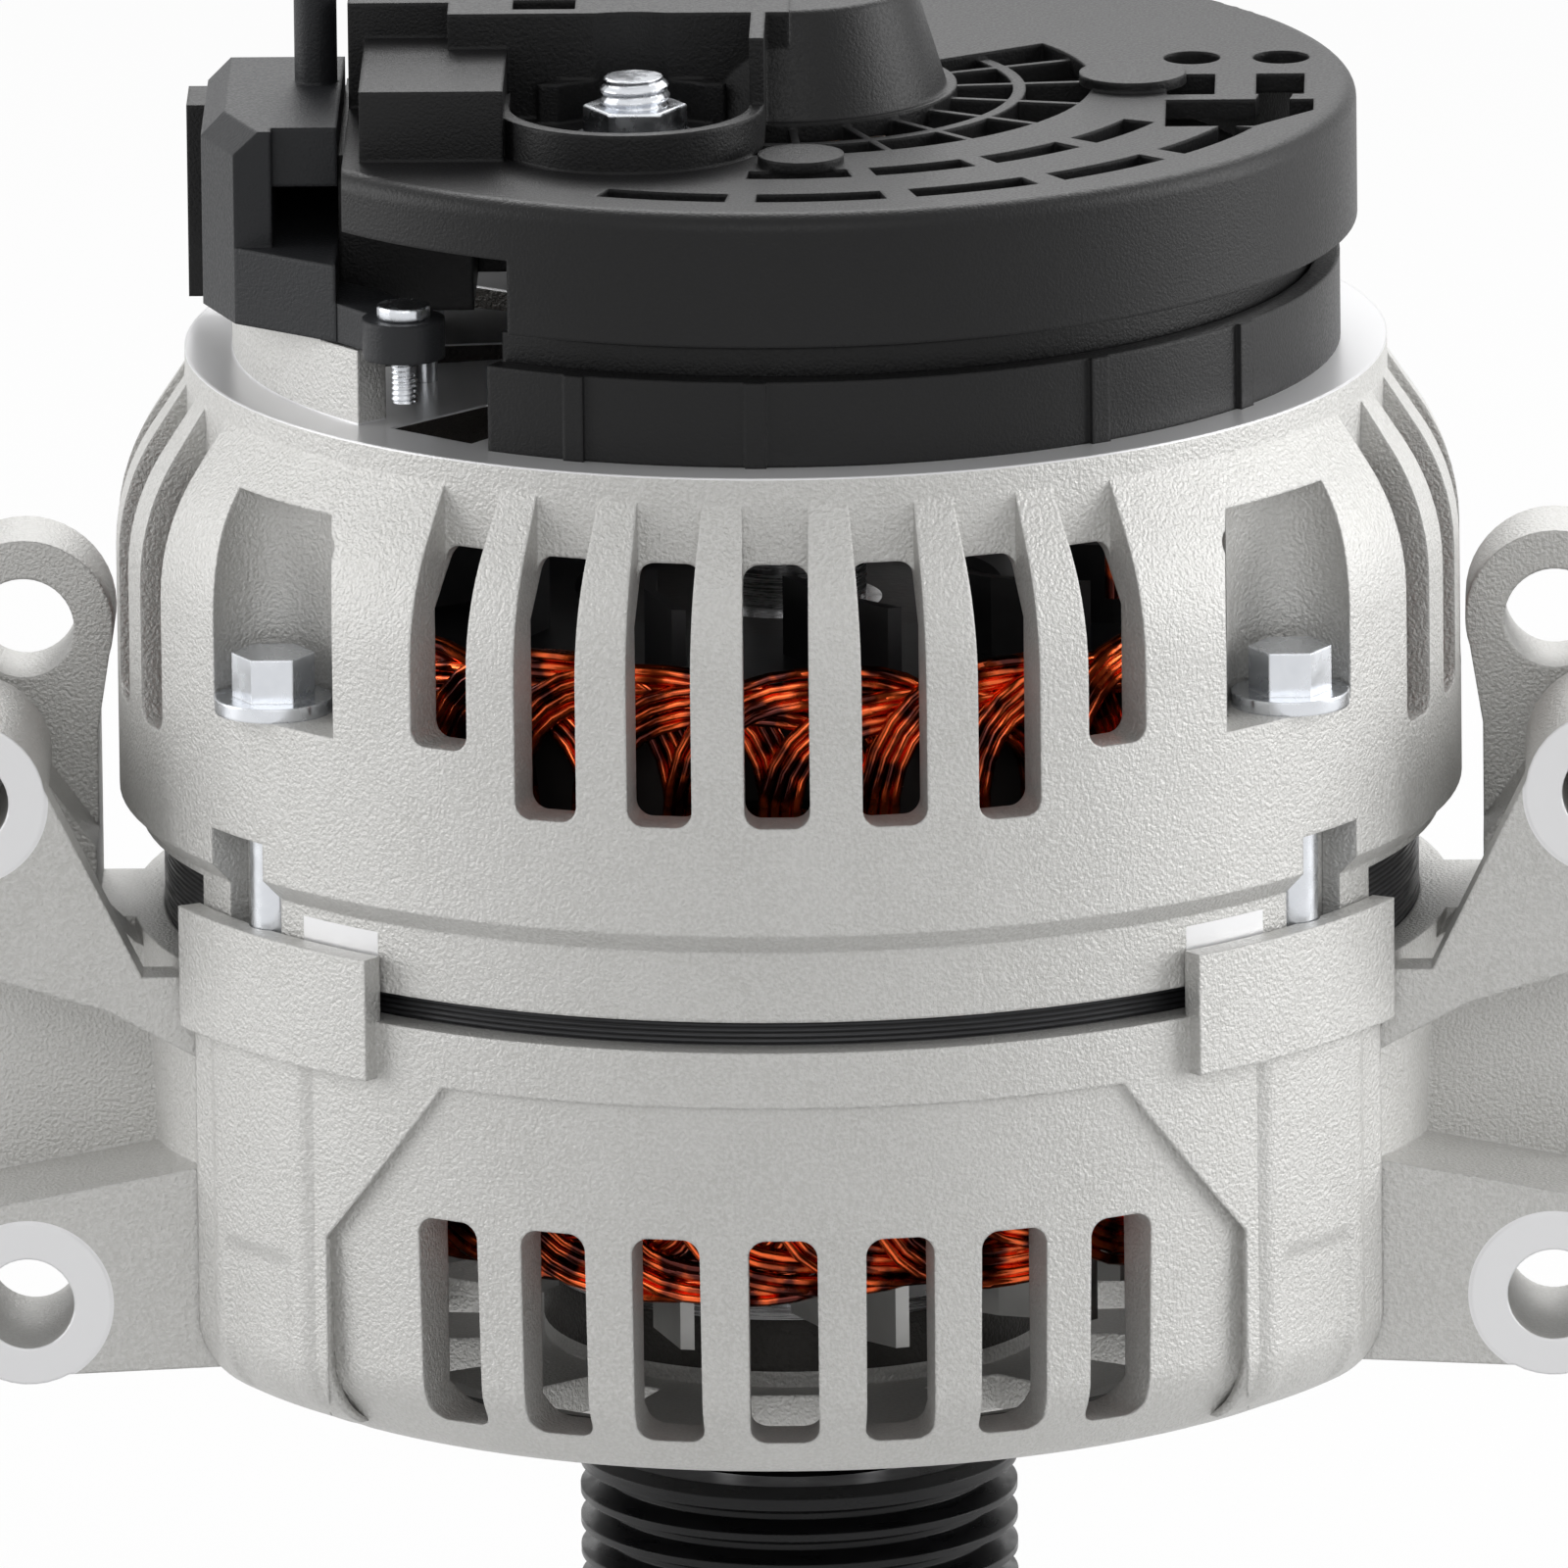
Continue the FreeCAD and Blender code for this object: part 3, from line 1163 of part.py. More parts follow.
def make_cover():
    """The black cover: skirt, vented deck, hub over the slip rings, stud cup and regulator blocks."""
    piece = stack("rear_cover", [
        (0, s.deck_z - s.cover_wall), (s.hub_r - s.cover_wall, s.deck_z - s.cover_wall),
        (s.cover_r - s.cover_wall, s.deck_z - s.cover_wall), (s.cover_r - s.cover_wall, s.skirt_z),
        (s.cover_r, s.skirt_z), (s.cover_r, s.deck_z), (s.hub_r, s.deck_z),
        (s.hub_top_r, s.hub_z), (0, s.hub_z),
    ], {5: s.deck_round, 7: s.deck_round / 2})
    block = box(piece.draw("XY_Plane", s.deck_z - s.cover_wall), -s.block_left_x, -s.block_front_y,
                s.cover_wall / 2, s.block_back_y)
    piece.pad(block, s.block_height + s.cover_wall)
    step = box(piece.draw("XY_Plane", s.deck_z - s.cover_wall), -s.step_left_x, -s.step_front_y,
               -s.block_left_x + s.cover_wall * 3, s.step_back_y)
    piece.pad(step, s.step_height + s.cover_wall)
    ledge = box(piece.draw("XY_Plane", s.deck_z - s.cover_wall), -s.cover_left_x, -s.ledge_front_y,
                -s.block_left_x, s.block_back_y)
    piece.pad(ledge, s.block_height + s.cover_wall)
    wall = circle(piece.draw("XY_Plane", s.deck_z - s.cover_wall), -s.cup_x, -s.cup_y, s.cup_r)
    piece.pad(wall, s.cup_height + s.cover_wall)
    inner_half = s.cup_r - s.cup_wall
    fin = box(piece.draw("XY_Plane", s.deck_z - s.cover_wall), -s.cup_x + inner_half, -s.cup_y,
              -s.cup_x + s.cup_r, -s.block_front_y)
    piece.pad(fin, s.block_height + s.cover_wall)
    cup_z = s.deck_z - s.cup_floor + s.cover_wall
    cup = circle(piece.draw("XY_Plane", cup_z), -s.cup_x, -s.cup_y, inner_half)
    piece.cut(cup, s.block_height * 2)
    back = box(piece.draw("XY_Plane", cup_z), -s.cup_x - inner_half, -s.cup_y,
               -s.cup_x + inner_half, -s.block_front_y - s.cover_wall)
    piece.cut(back, s.block_height * 2)
    hollow = outline(piece.draw("XZ_Plane"), [
        (0, s.skirt_z), (s.hub_r - s.cover_wall, s.skirt_z), (s.hub_r - s.cover_wall, s.deck_z),
        (s.hub_top_r - s.cover_wall, s.hub_z - s.cover_wall), (0, s.hub_z - s.cover_wall)])
    piece.groove(hollow)
    room = box(piece.draw("XY_Plane", s.skirt_z), -s.block_left_x + s.cover_wall,
               -s.block_front_y + s.cover_wall, 0, s.block_back_y - s.cover_wall)
    piece.cut(room, s.deck_z - s.skirt_z + s.block_height - s.cover_wall)
    lid_window = box(piece.draw("XY_Plane", s.deck_z), -s.lid_window_x - s.lid_window_length,
                     -s.lid_window_y - s.lid_window_width, -s.lid_window_x, -s.lid_window_y)
    piece.cut(lid_window, s.block_height)
    port = circle(piece.draw("XY_Plane", s.skirt_z), -s.stud_x, -s.stud_y, s.stud_r + s.cover_wall)
    piece.cut(port, s.block_height * 2)
    side = box(piece.draw("YZ_Plane", -s.cover_left_x), -s.cover_r - s.slip, s.skirt_z - s.slip,
               s.cover_r + s.slip, s.deck_z + s.slip)
    piece.cut(side, s.cover_r, back=True)
    end_y = s.cover_left_x * sine(s.end_plate_deg) / cosine(s.end_plate_deg)
    plate = box(piece.draw("YZ_Plane", -s.cover_left_x), -end_y, s.short_skirt_z,
                -s.regulator_front_y - s.seat_gap, s.deck_z)
    piece.pad(plate, s.cover_wall)
    short = box(piece.draw("XZ_Plane", 0.0, -90.0 - s.short_end_deg), s.cover_r - s.cover_wall * 2,
                s.skirt_z, s.cover_r + s.slip, s.short_skirt_z)
    piece.groove(short, s.short_end_deg - s.short_start_deg)
    make_grille(piece)
    return piece


def make_grille(piece):
    """Radial louvres round the hub, crossed by a ring, and rows of slots towards the rim."""
    opening = box(piece.draw("XZ_Plane", 0.0, s.grille_start_deg - 90.0), s.hub_r + s.cover_wall / 2,
                  s.deck_z - s.cover_wall, s.grille_r, s.deck_z)
    piece.groove(opening, s.grille_span_deg)
    low = s.deck_z - s.grille_depth - s.grille_ring
    hoop = box(piece.draw("XZ_Plane", 0.0, s.grille_start_deg - 90.0), s.grille_ring_r - s.grille_ring / 2,
               low, s.grille_ring_r + s.grille_ring / 2, s.deck_z - s.grille_depth / 2)
    piece.spin(hoop, s.grille_span_deg)
    bar = box(piece.draw("XY_Plane", low, s.grille_rib_start_deg), -s.grille_rib / 2,
              -s.grille_r - s.cover_wall / 2, s.grille_rib / 2, -s.hub_r)
    rib = piece.pad(bar, s.deck_z - s.grille_depth / 2 - low)
    piece.polar([rib], s.grille_rib_count, s.grille_rib_span_deg, grows=True)
    for radius, count, start in ((s.slot_row_r, s.row_count - 2, s.slot_row_start_deg),
                                 (s.outer_row_r, s.row_count, s.outer_row_start_deg)):
        sketch = box(piece.draw("XZ_Plane", 0.0, start - 90.0), radius - s.slot_row_half,
                     s.deck_z - s.cover_wall, radius + s.slot_row_half, s.deck_z)
        slot = piece.groove(sketch, s.row_length_deg)
        piece.polar([slot], count, s.row_pitch_deg * (count - 1))
    openings = piece.draw("XY_Plane", s.deck_z - s.cover_wall)
    outline(openings, [(s.bay_left_x, -s.bay_front_y), (s.bay_left_x + s.pane_length, -s.bay_front_y),
                       (s.bay_right_x, -s.bay_back_y - s.pane_width), (s.bay_right_x, -s.bay_back_y),
                       (s.bay_left_x, -s.bay_back_y)])
    for left in (s.bay_left_x, s.bay_left_x + s.pane_length):
        box(openings, left, -s.pane_y, left + s.pane_width, s.pane_length - s.pane_y)
        circle(openings, left + s.pane_width / 2, s.eyelet_y, s.eyelet_r)
    piece.cut(openings, s.cover_wall)
    for angle, radius in ((s.dome_button_deg, s.dome_button_r), (s.wide_button_deg, s.wide_button_r)):
        button = circle(piece.draw("XY_Plane", s.deck_z, angle), 0, -s.dome_button_circle_r - s.cover_wall,
                        radius)
        piece.pad(button, s.dome_button)


def make_battery_stud():
    base = s.upper_sink_z + s.sink_thickness
    stud = Piece("battery_stud")
    foot = hexagon(stud.draw("XY_Plane", base), s.stud_foot_flats, -s.stud_x, -s.stud_y)
    stud.pad(foot, s.stud_foot)
    stem = circle(stud.draw("XY_Plane", base + s.stud_foot), -s.stud_x, -s.stud_y, s.stud_r)
    stud.pad(stem, s.stud_top_z - base - s.stud_foot)
    seat = s.deck_z - s.cup_floor + s.cover_wall
    nut = Piece("battery_stud_nut")
    washer = circle(nut.draw("XY_Plane", seat), -s.stud_x, -s.stud_y, s.stud_nut_flats / 2 + s.stud_foot / 2)
    nut.pad(washer, s.stud_washer)
    nut.pad(hexagon(nut.draw("XY_Plane", seat + s.stud_washer), s.stud_nut_flats, -s.stud_x, -s.stud_y),
            s.stud_nut - s.stud_washer)
    nut.cut(circle(nut.draw("XY_Plane", seat), -s.stud_x, -s.stud_y, s.stud_r + s.slip), s.stud_nut)


def make_regulator():
    """The regulator block with its brush holder, the brushes and the springs behind them."""
    face_x = s.slip_ring_r + s.brush_gap
    holder_x = s.slip_ring_r + s.holder_gap
    holder_end = holder_x + s.holder_length
    low_z = s.slip_ring_z - s.slip_sleeve / 3
    high_z = s.slip_ring_z + s.slip_ring_step + s.slip_ring_width + s.slip_sleeve / 3
    holder = Piece("brush_holder")
    holder.pad(box(holder.draw("XY_Plane", low_z), -holder_end, -s.holder_half, -holder_x, s.holder_half),
               high_z - low_z)
    play = s.brush_half + s.brush_play
    for name, step in (("inner", 0), ("outer", 1)):
        middle = s.slip_ring_z + s.slip_ring_width / 2 + s.slip_ring_step * step
        holder.cut(box(holder.draw("YZ_Plane", -holder_x), -play, middle - play, play, middle + play),
                   s.holder_length - s.cover_wall, back=True)
        brush = Piece("brush_" + name)
        brush.pad(box(brush.draw("YZ_Plane", -face_x), -s.brush_half, middle - s.brush_half,
                      s.brush_half, middle + s.brush_half), s.brush_length, back=True)
        spring = Piece("brush_spring_" + name)
        length = holder_end - s.cover_wall - face_x - s.brush_length
        spring.pad(circle(spring.draw("YZ_Plane", -holder_end + s.cover_wall), 0, middle, s.spring_r), length)
    block = Piece("regulator")
    block.pad(box(block.draw("XY_Plane", s.regulator_z), -s.body_right_x, -s.regulator_front_y,
                  -holder_end, s.regulator_back_y), s.deck_z - s.cover_wall - s.regulator_z)
    screws = Piece("regulator_screws")
    for y in (-s.regulator_front_y + s.lug_r, s.regulator_back_y - s.lug_r):
        foot = circle(screws.draw("XY_Plane", s.rear_top_z), -s.body_right_x + s.lug_r * 2, y, s.lug_screw_r)
        screws.pad(foot, s.regulator_z - s.rear_top_z)


def make_connector():
    """The grey connector body, its plug socket with pins, the guide post and the screw lug."""
    body = Piece("connector_body")
    base = outline(body.draw("XY_Plane", s.body_z), [
        (-s.body_left_x, s.body_back_y), (-s.body_left_x, -s.body_corner_y),
        (-s.body_corner_x, -s.body_nose_y), (-s.body_right_x, -s.body_nose_y - s.lug_r * 2), (-s.body_right_x, s.body_back_y)])
    body.pad(base, s.body_base)
    column = outline(body.draw("XY_Plane", s.body_z), [
        (-s.body_left_x, s.body_back_y), (-s.body_left_x, -s.body_corner_y),
        (-s.body_corner_x, -s.body_nose_y), (-s.body_spine_x, -s.body_nose_y),
        (-s.body_spine_x, s.body_back_y)])
    body.pad(column, s.body_top_z - s.body_z)
    roof = box(body.draw("XY_Plane", s.body_top_z - s.body_roof), -s.body_corner_x, -s.body_front_y,
               -s.body_right_x, s.body_back_y)
    body.pad(roof, s.body_roof)
    body.bevel(s.body_chamfer, lambda edge: abs(edge.BoundBox.ZMin - float(s.body_top_z)) < NEAR
               and edge.BoundBox.XMax < -float(s.body_corner_x) + NEAR)
    post = circle(body.draw("XY_Plane", s.body_top_z - s.body_roof), -s.guide_x, -s.guide_y, s.guide_r)
    body.pad(post, s.guide_top_z - s.body_top_z + s.body_roof)
    band = outline(body.draw("XY_Plane", s.body_z), [
        (-s.body_right_x - s.lug_r, -s.body_front_y - s.lug_r), (-s.body_right_x, -s.body_front_y),
        (-s.body_right_x + s.lug_r, -s.body_front_y - s.lug_r), (-s.lug_x + s.lug_r, -s.lug_y),
        (-s.lug_x, -s.lug_y - s.lug_flat)])
    body.pad(band, s.lug_height)
    body.pad(circle(body.draw("XY_Plane", s.body_z), -s.lug_x, -s.lug_y, s.lug_r), s.lug_height)
    hole = circle(body.draw("XY_Plane", s.body_z), -s.lug_x, -s.lug_y, s.lug_screw_r + s.slip)
    body.cut(hole, s.lug_height)
    screw = Piece("connector_screw")
    screw.pad(circle(screw.draw("XY_Plane", s.body_z - s.lug_screw_drop), -s.lug_x, -s.lug_y, s.lug_screw_r),
              s.lug_screw_drop + s.lug_height)
    screw.pad(circle(screw.draw("XY_Plane", s.body_z + s.lug_height), -s.lug_x, -s.lug_y, s.lug_screw_r * 2),
              s.lug_screw_r)
    plug = Piece("plug_socket")
    plug_back_y = s.body_back_y + s.plug_length
    plug.pad(box(plug.draw("XY_Plane", s.plug_z), -s.plug_left_x, s.body_back_y,
                 -s.body_right_x, plug_back_y), s.plug_height)
    plug.cut(box(plug.draw("YZ_Plane", -s.plug_left_x), s.body_back_y + s.plug_wall,
                 s.plug_z + s.plug_wall, plug_back_y - s.plug_wall, s.plug_z + s.plug_height - s.plug_wall),
             s.plug_depth)
    pins = Piece("plug_pins")
    pitch = (s.plug_height - s.plug_wall * 4) / s.pin_count
    first = pins.pad(box(pins.draw("YZ_Plane", s.plug_depth - s.plug_left_x),
                         s.body_back_y + s.plug_length / 2 - s.pin_half, s.plug_z + s.plug_wall * 2,
                         s.body_back_y + s.plug_length / 2 + s.pin_half,
                         s.plug_z + s.plug_wall * 2 + s.pin_half * 2), s.pin_length, back=True)
    pins.row([first], "Z_Axis", pitch * (s.pin_count - 1), s.pin_count, grows=True)


LEAD_VENTS = (1, 2, 4)


def make_phase_leads():
    """Three leads from the rear winding head up to the rectifier."""
    base = s.core_z + s.core_length + s.rear_head_height
    leads = Piece("phase_leads")
    pitch = 360.0 / s.vent_count
    for place in LEAD_VENTS:
        lead = circle(leads.draw("XY_Plane", base, pitch * place), 0, -s.head_inner_r - s.slot_lip, s.lead_r)
        leads.pad(lead, s.rear_top_z + s.carrier_web - base)


def check_and_export():
    """Refuse to write anything if a feature failed, did nothing or left a bad shape."""
    doc.recompute()
    faults = [item.Name for item in doc.Objects if "Invalid" in item.State or "Error" in item.State]
    for piece in Piece.made:
        shape = piece.body.Shape
        if shape.isNull() or not shape.isValid() or not shape.Solids:
            faults.append(piece.name + " has a bad shape")
            continue
        piece.weigh()
        before = 0.0
        for (step, grows), after in zip(piece.steps, piece.volumes):
            if grows is not None and ((after > before) != grows or abs(after - before) < SAME_VOLUME):
                faults.append("%s did nothing useful: %.3f to %.3f" % (step.Name, before, after))
            before = after
    if faults:
        raise RuntimeError("\n".join(faults))
    os.makedirs("parts", exist_ok=True)
    for piece in Piece.made:
        piece.body.Shape.exportStep("parts/%s.step" % piece.name)
        shape = piece.body.Shape
        print("%-24s %3d solids %9.1f mm3" % (piece.name, len(shape.Solids), shape.Volume))


doc = FreeCAD.newDocument("alternator")
s = make_sheet()
make_shaft(make_pulley())
make_bearing("front", s.front_seat_r, s.front_bearing_r, s.front_bearing_z, s.front_bearing_width,
             s.front_ball_r, s.front_ball_count)
make_bearing("rear", s.rear_seat_r, s.rear_bearing_r, s.rear_bearing_z, s.rear_bearing_width,
             s.rear_ball_r, s.rear_ball_count)
ring("rear_bearing_sleeve", s.rear_bearing_r + s.slip, s.rear_bearing_r + s.sleeve_wall,
     s.rear_bearing_z, s.rear_bearing_width)
make_rotor()
make_slip_rings()
make_stator()
make_drive_housing()
make_front_retainer()
make_rear_housing()
make_through_bolts()
make_rectifier()
make_cover()
make_battery_stud()
make_regulator()
make_connector()
make_phase_leads()
check_and_export()
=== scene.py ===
import math
import random

import bpy
from mathutils import Matrix, Vector


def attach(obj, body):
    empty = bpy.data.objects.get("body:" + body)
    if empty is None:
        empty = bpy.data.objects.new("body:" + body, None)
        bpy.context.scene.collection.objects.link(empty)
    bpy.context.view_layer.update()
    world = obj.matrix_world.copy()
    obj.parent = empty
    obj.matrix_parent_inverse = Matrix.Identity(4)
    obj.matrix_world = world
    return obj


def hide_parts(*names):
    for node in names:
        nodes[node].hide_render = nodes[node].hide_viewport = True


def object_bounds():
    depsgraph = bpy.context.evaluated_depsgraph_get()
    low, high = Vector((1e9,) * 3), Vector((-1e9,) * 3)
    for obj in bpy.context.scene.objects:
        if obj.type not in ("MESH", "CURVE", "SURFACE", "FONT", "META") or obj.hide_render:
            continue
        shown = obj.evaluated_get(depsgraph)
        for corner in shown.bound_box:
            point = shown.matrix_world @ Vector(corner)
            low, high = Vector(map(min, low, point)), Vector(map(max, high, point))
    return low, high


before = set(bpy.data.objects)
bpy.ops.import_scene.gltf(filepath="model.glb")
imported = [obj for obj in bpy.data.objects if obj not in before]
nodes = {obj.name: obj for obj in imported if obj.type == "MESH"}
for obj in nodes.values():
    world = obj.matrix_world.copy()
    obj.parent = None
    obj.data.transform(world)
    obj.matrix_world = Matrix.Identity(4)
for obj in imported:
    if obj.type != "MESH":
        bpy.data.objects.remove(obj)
cad_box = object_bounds()
MM = 0.001


# The cast housings.
# Two die castings in aluminium clamp the stator between them. Their skin is shot blasted, and only
# the flange under the rear cover, the four seats and the faces of the ears are machined bright.
# Inside the housings, between the front wall and the flange, the skin is coloured near black: painted
# shade.
INSIDE_R = 62.3
FRONT_WALL_Z, FLANGE_FACE_Z, FLANGE_SKIN = 27.5, 139.7, 0.4
SEAT_TOP_Z = 86.0
SEAT_START, SEAT_END = math.radians(38), math.radians(47)
EAR_PLACES = ((85.4, 37.1), (91.9, 94.9))
EAR_R, EAR_FACE_Y, EAR_SKIN = 9.6, -33.0, 0.1

CAST_COLOUR = (0.6, 0.6, 0.58)
CAST_DARK, CAST_LIGHT, CAST_SPECK = (0.50, 0.495, 0.475), (0.58, 0.575, 0.56), (0.63, 0.625, 0.61)
# CAST_PAINTED_SHADE is painted shade for the inside of the castings; CAST_MACHINED is the bright machined
# metal.
CAST_PAINTED_SHADE, CAST_MACHINED = (0.045, 0.042, 0.038), (0.86, 0.86, 0.87)
GRAIN_MM, PATCH_MM = 0.42, 9.0
MACHINED_ROUGHNESS = 0.3


class Value:
    """A socket of a node tree that takes part in ordinary arithmetic."""

    def __init__(self, tree, socket):
        self.tree = tree
        self.socket = socket

    def __add__(self, other):
        return self.tree.maths("ADD", self, other)

    def __radd__(self, other):
        return self.tree.maths("ADD", other, self)

    def __sub__(self, other):
        return self.tree.maths("SUBTRACT", self, other)

    def __rsub__(self, other):
        return self.tree.maths("SUBTRACT", other, self)

    def __mul__(self, other):
        return self.tree.maths("MULTIPLY", self, other)

    def __rmul__(self, other):
        return self.tree.maths("MULTIPLY", other, self)

    def __gt__(self, other):
        return self.tree.maths("GREATER_THAN", self, other)

    def __lt__(self, other):
        return self.tree.maths("LESS_THAN", self, other)

    def __abs__(self):
        return self.tree.maths("ABSOLUTE", self)

    def __and__(self, other):
        return self.tree.maths("MINIMUM", self, other)

    def __or__(self, other):
        return self.tree.maths("MAXIMUM", self, other)


class Shading:
    """A tree of shader nodes. node() adds one node to it and hands back an output as a Value."""

    def __init__(self, tree):
        self.nodes = tree.nodes
        self.links = tree.links

    def node(self, kind, settings=None, values=None, output=0):
        made = self.nodes.new("ShaderNode" + kind)
        for name, setting in (settings or {}).items():
            setattr(made, name, setting)
        for key, value in (values or {}).items():
            self.put(made.inputs[key], value)
        return made if output is None else Value(self, made.outputs[output])

    def maths(self, operation, *values):
        return self.node("Math", {"operation": operation}, dict(enumerate(values)))

    def put(self, socket, value):
        if isinstance(value, Value):
            self.links.new(value.socket, socket)
        elif socket.type == "RGBA" and len(value) == 3:
            socket.default_value = (*value, 1.0)
        else:
            socket.default_value = value


class Finish(Shading):
    """A material for pieces to wear, with the place on the piece as x, y and z in metres."""

    def __init__(self, name, colour, roughness, metallic=0.0, coat=0.0, gleam=0.5):
        self.material = bpy.data.materials.new(name)
        self.material.use_nodes = True
        super().__init__(self.material.node_tree)
        self.surface = self.nodes["Principled BSDF"]
        self.set(colour, roughness, metallic, coat)
        self.put(self.surface.inputs["Specular IOR Level"], gleam)
        self.place = self.node("TexCoord", output="Object")
        parts = self.node("SeparateXYZ", {}, {0: self.place}, output=None)
        self.x, self.y, self.z = (Value(self, parts.outputs[axis]) for axis in "XYZ")

    def set(self, colour=None, roughness=None, metallic=None, coat=None):
        for name, value in (("Base Color", colour), ("Roughness", roughness),
                            ("Metallic", metallic), ("Coat Weight", coat)):
            if value is not None:
                self.put(self.surface.inputs[name], value)

    def noise(self, size_mm, detail=2.0, stretch=None):
        """Cloudy values from 0 to 1 whose lumps are about size_mm across."""
        place = self.place
        if stretch:
            place = self.node("Mapping", {}, {"Vector": place, "Scale": stretch})
        scale = 1.0 / (size_mm * MM)
        return self.node("TexNoise", {}, {"Vector": place, "Scale": scale, "Detail": detail})

    def mix(self, share, first, second):
        """Colours blended by share, which runs from 0 to 1."""
        return self.node("Mix", {"data_type": "RGBA"}, {0: share, 6: first, 7: second}, output=2)

    def steps(self, value, low=0.3, high=0.7, start=0.0, end=1.0):
        """start below low, end above high, and a smooth change between."""
        limits = {"From Min": low, "From Max": high, "To Min": start, "To Max": end}
        return self.node("MapRange", {"interpolation_type": "SMOOTHSTEP"}, {"Value": value, **limits})

    def bump(self, height, depth_mm, strength=1.0, edge_mm=0.0):
        values = {"Height": height, "Distance": depth_mm * MM, "Strength": strength}
        if edge_mm:
            values["Normal"] = self.node("Bevel", {"samples": 4}, {"Radius": edge_mm * MM})
        self.put(self.surface.inputs["Normal"], self.node("Bump", {}, values))

    def wear(self, *names):
        """Puts the finish on CAD nodes and on pieces of this script."""
        for name in names:
            piece = nodes[name] if name in nodes else bpy.data.objects[name]
            if not piece.material_slots:
                piece.data.materials.append(self.material)
            for slot in piece.material_slots:
                slot.link = "OBJECT"
                slot.material = self.material


def within(across, up, radius):
    """1 where the point (across, up) is less than radius away from the middle. radius is in mm."""
    return (across * across + up * up) < (radius * MM) ** 2


def ear_faces(made):
    """1 on the faced rings of the four ears."""
    side = abs(made.x)
    lower, upper = (within(side - x * MM, made.z - z * MM, EAR_R) for x, z in EAR_PLACES)
    return (lower | upper) & (made.y < (EAR_FACE_Y + EAR_SKIN) * MM)


def flange_and_seats(made):
    """1 on the turned flange on top of the rear housing and on the four seats at its foot."""
    flange = (made.z > FLANGE_FACE_Z * MM) & (made.z < (FLANGE_FACE_Z + FLANGE_SKIN) * MM)
    turn = made.maths("ARCTAN2", abs(made.x), abs(made.y))
    seats = (turn > SEAT_START) & (turn < SEAT_END) & (made.z < SEAT_TOP_Z * MM)
    return flange | seats


def cast_finish(name, machined):
    """Shot blasted aluminium, bright where machined(finish) is 1, and near black on the inside as painted
    shade.
    """
    made = Finish(name, CAST_COLOUR, roughness=0.5, metallic=0.45)
    bright = machined(made)
    grain = made.noise(GRAIN_MM, detail=3.0)
    skin = made.mix(made.noise(PATCH_MM), CAST_DARK, CAST_LIGHT)
    skin = made.mix(made.steps(grain, low=0.35), skin, CAST_SPECK)
    # Painted shade: the inside of the housing between the front wall and the flange is coloured near
    # black.
    inside = within(made.x, made.y, INSIDE_R)
    painted_shade_inside = inside & (made.z < FLANGE_FACE_Z * MM) & (made.z > FRONT_WALL_Z * MM)
    skin = made.mix(painted_shade_inside, skin, CAST_PAINTED_SHADE)
    blasted = made.steps(grain, start=0.42, end=0.56)
    made.set(made.mix(bright, skin, CAST_MACHINED), blasted * (1 - bright) + bright * MACHINED_ROUGHNESS)
    made.bump(grain * (1 - bright), depth_mm=0.24, edge_mm=0.5)
    return made


drive_cast = cast_finish("cast_with_faced_ears", ear_faces)
drive_cast.wear("drive_end_housing")
cast_finish("cast_with_turned_flange", flange_and_seats).wear("rear_housing")


# The columns of the drive end housing.
# The casting rises in a low pillar outside each bolt, cast in one with the wall, and a shallow
# panel is sunk into its foot. This skin over the solid also closes the slit at the bolt's bore.
WALL_R, FOOT_ROUND, FOOT_Z = 74.2, 9.0, 26.6
PILLAR_DEG, PILLAR_HALF_DEG, PILLAR_SIDE_DEG = 52.6, 8.4, 2.4
PILLAR_LOW_Z, PILLAR_TOP_Z, PILLAR_RAMP = 27.4, 69.8, 3.0
PILLAR_RISE, PILLAR_TUCK, PILLAR_DEPTH = 0.65, 0.35, 1.6
PANEL_HALF_DEG, PANEL_SIDE_DEG = 4.4, 0.3
PANEL_TOP_Z, PANEL_SIDE, PANEL_SINK = 46.5, 0.4, 0.5
PILLAR_COLUMNS, PILLAR_ROWS = 32, 60


def soften(value, low, high):
    """0 below low, 1 above high, and smooth between."""
    share = min(max((value - low) / (high - low), 0.0), 1.0)
    return share * share * (3 - 2 * share)


def pillar_radius(off_deg, z):
    """The outer radius of a pillar, off_deg away from its middle line."""
    drop = max(FOOT_Z + FOOT_ROUND - z, 0.0)
    wall = WALL_R - FOOT_ROUND + math.sqrt(FOOT_ROUND ** 2 - drop ** 2)
    rise = soften(PILLAR_HALF_DEG - abs(off_deg), 0.0, PILLAR_SIDE_DEG)
    rise *= soften(z, PILLAR_LOW_Z, PILLAR_LOW_Z + PILLAR_RAMP)
    sunk = soften(PANEL_HALF_DEG - abs(off_deg), -PANEL_SIDE_DEG, PANEL_SIDE_DEG)
    sunk *= soften(PANEL_TOP_Z - z, -PANEL_SIDE, PANEL_SIDE)
    return wall - PILLAR_TUCK + (PILLAR_RISE + PILLAR_TUCK) * rise - PANEL_SINK * sunk


def polar(radius, degrees, z):
    """A point given in mm by its distance from the shaft, its angle from the front and its height."""
    angle = math.radians(degrees)
    return Vector((radius * math.sin(angle), -radius * math.cos(angle), z)) * MM


def new_object(name, data):
    """An object that is in the scene."""
    made = bpy.data.objects.new(name, data)
    bpy.context.scene.collection.objects.link(made)
    return made


def mesh_piece(name, corners, faces, body, smooth=True):
    """A new piece from corners in metres, riding on a body."""
    mesh = bpy.data.meshes.new(name)
    mesh.from_pydata([tuple(corner) for corner in corners], [], faces)
    mesh.update()
    mesh.polygons.foreach_set("use_smooth", [smooth] * len(mesh.polygons))
    piece = new_object(name, mesh)
    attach(piece, body)
    return piece


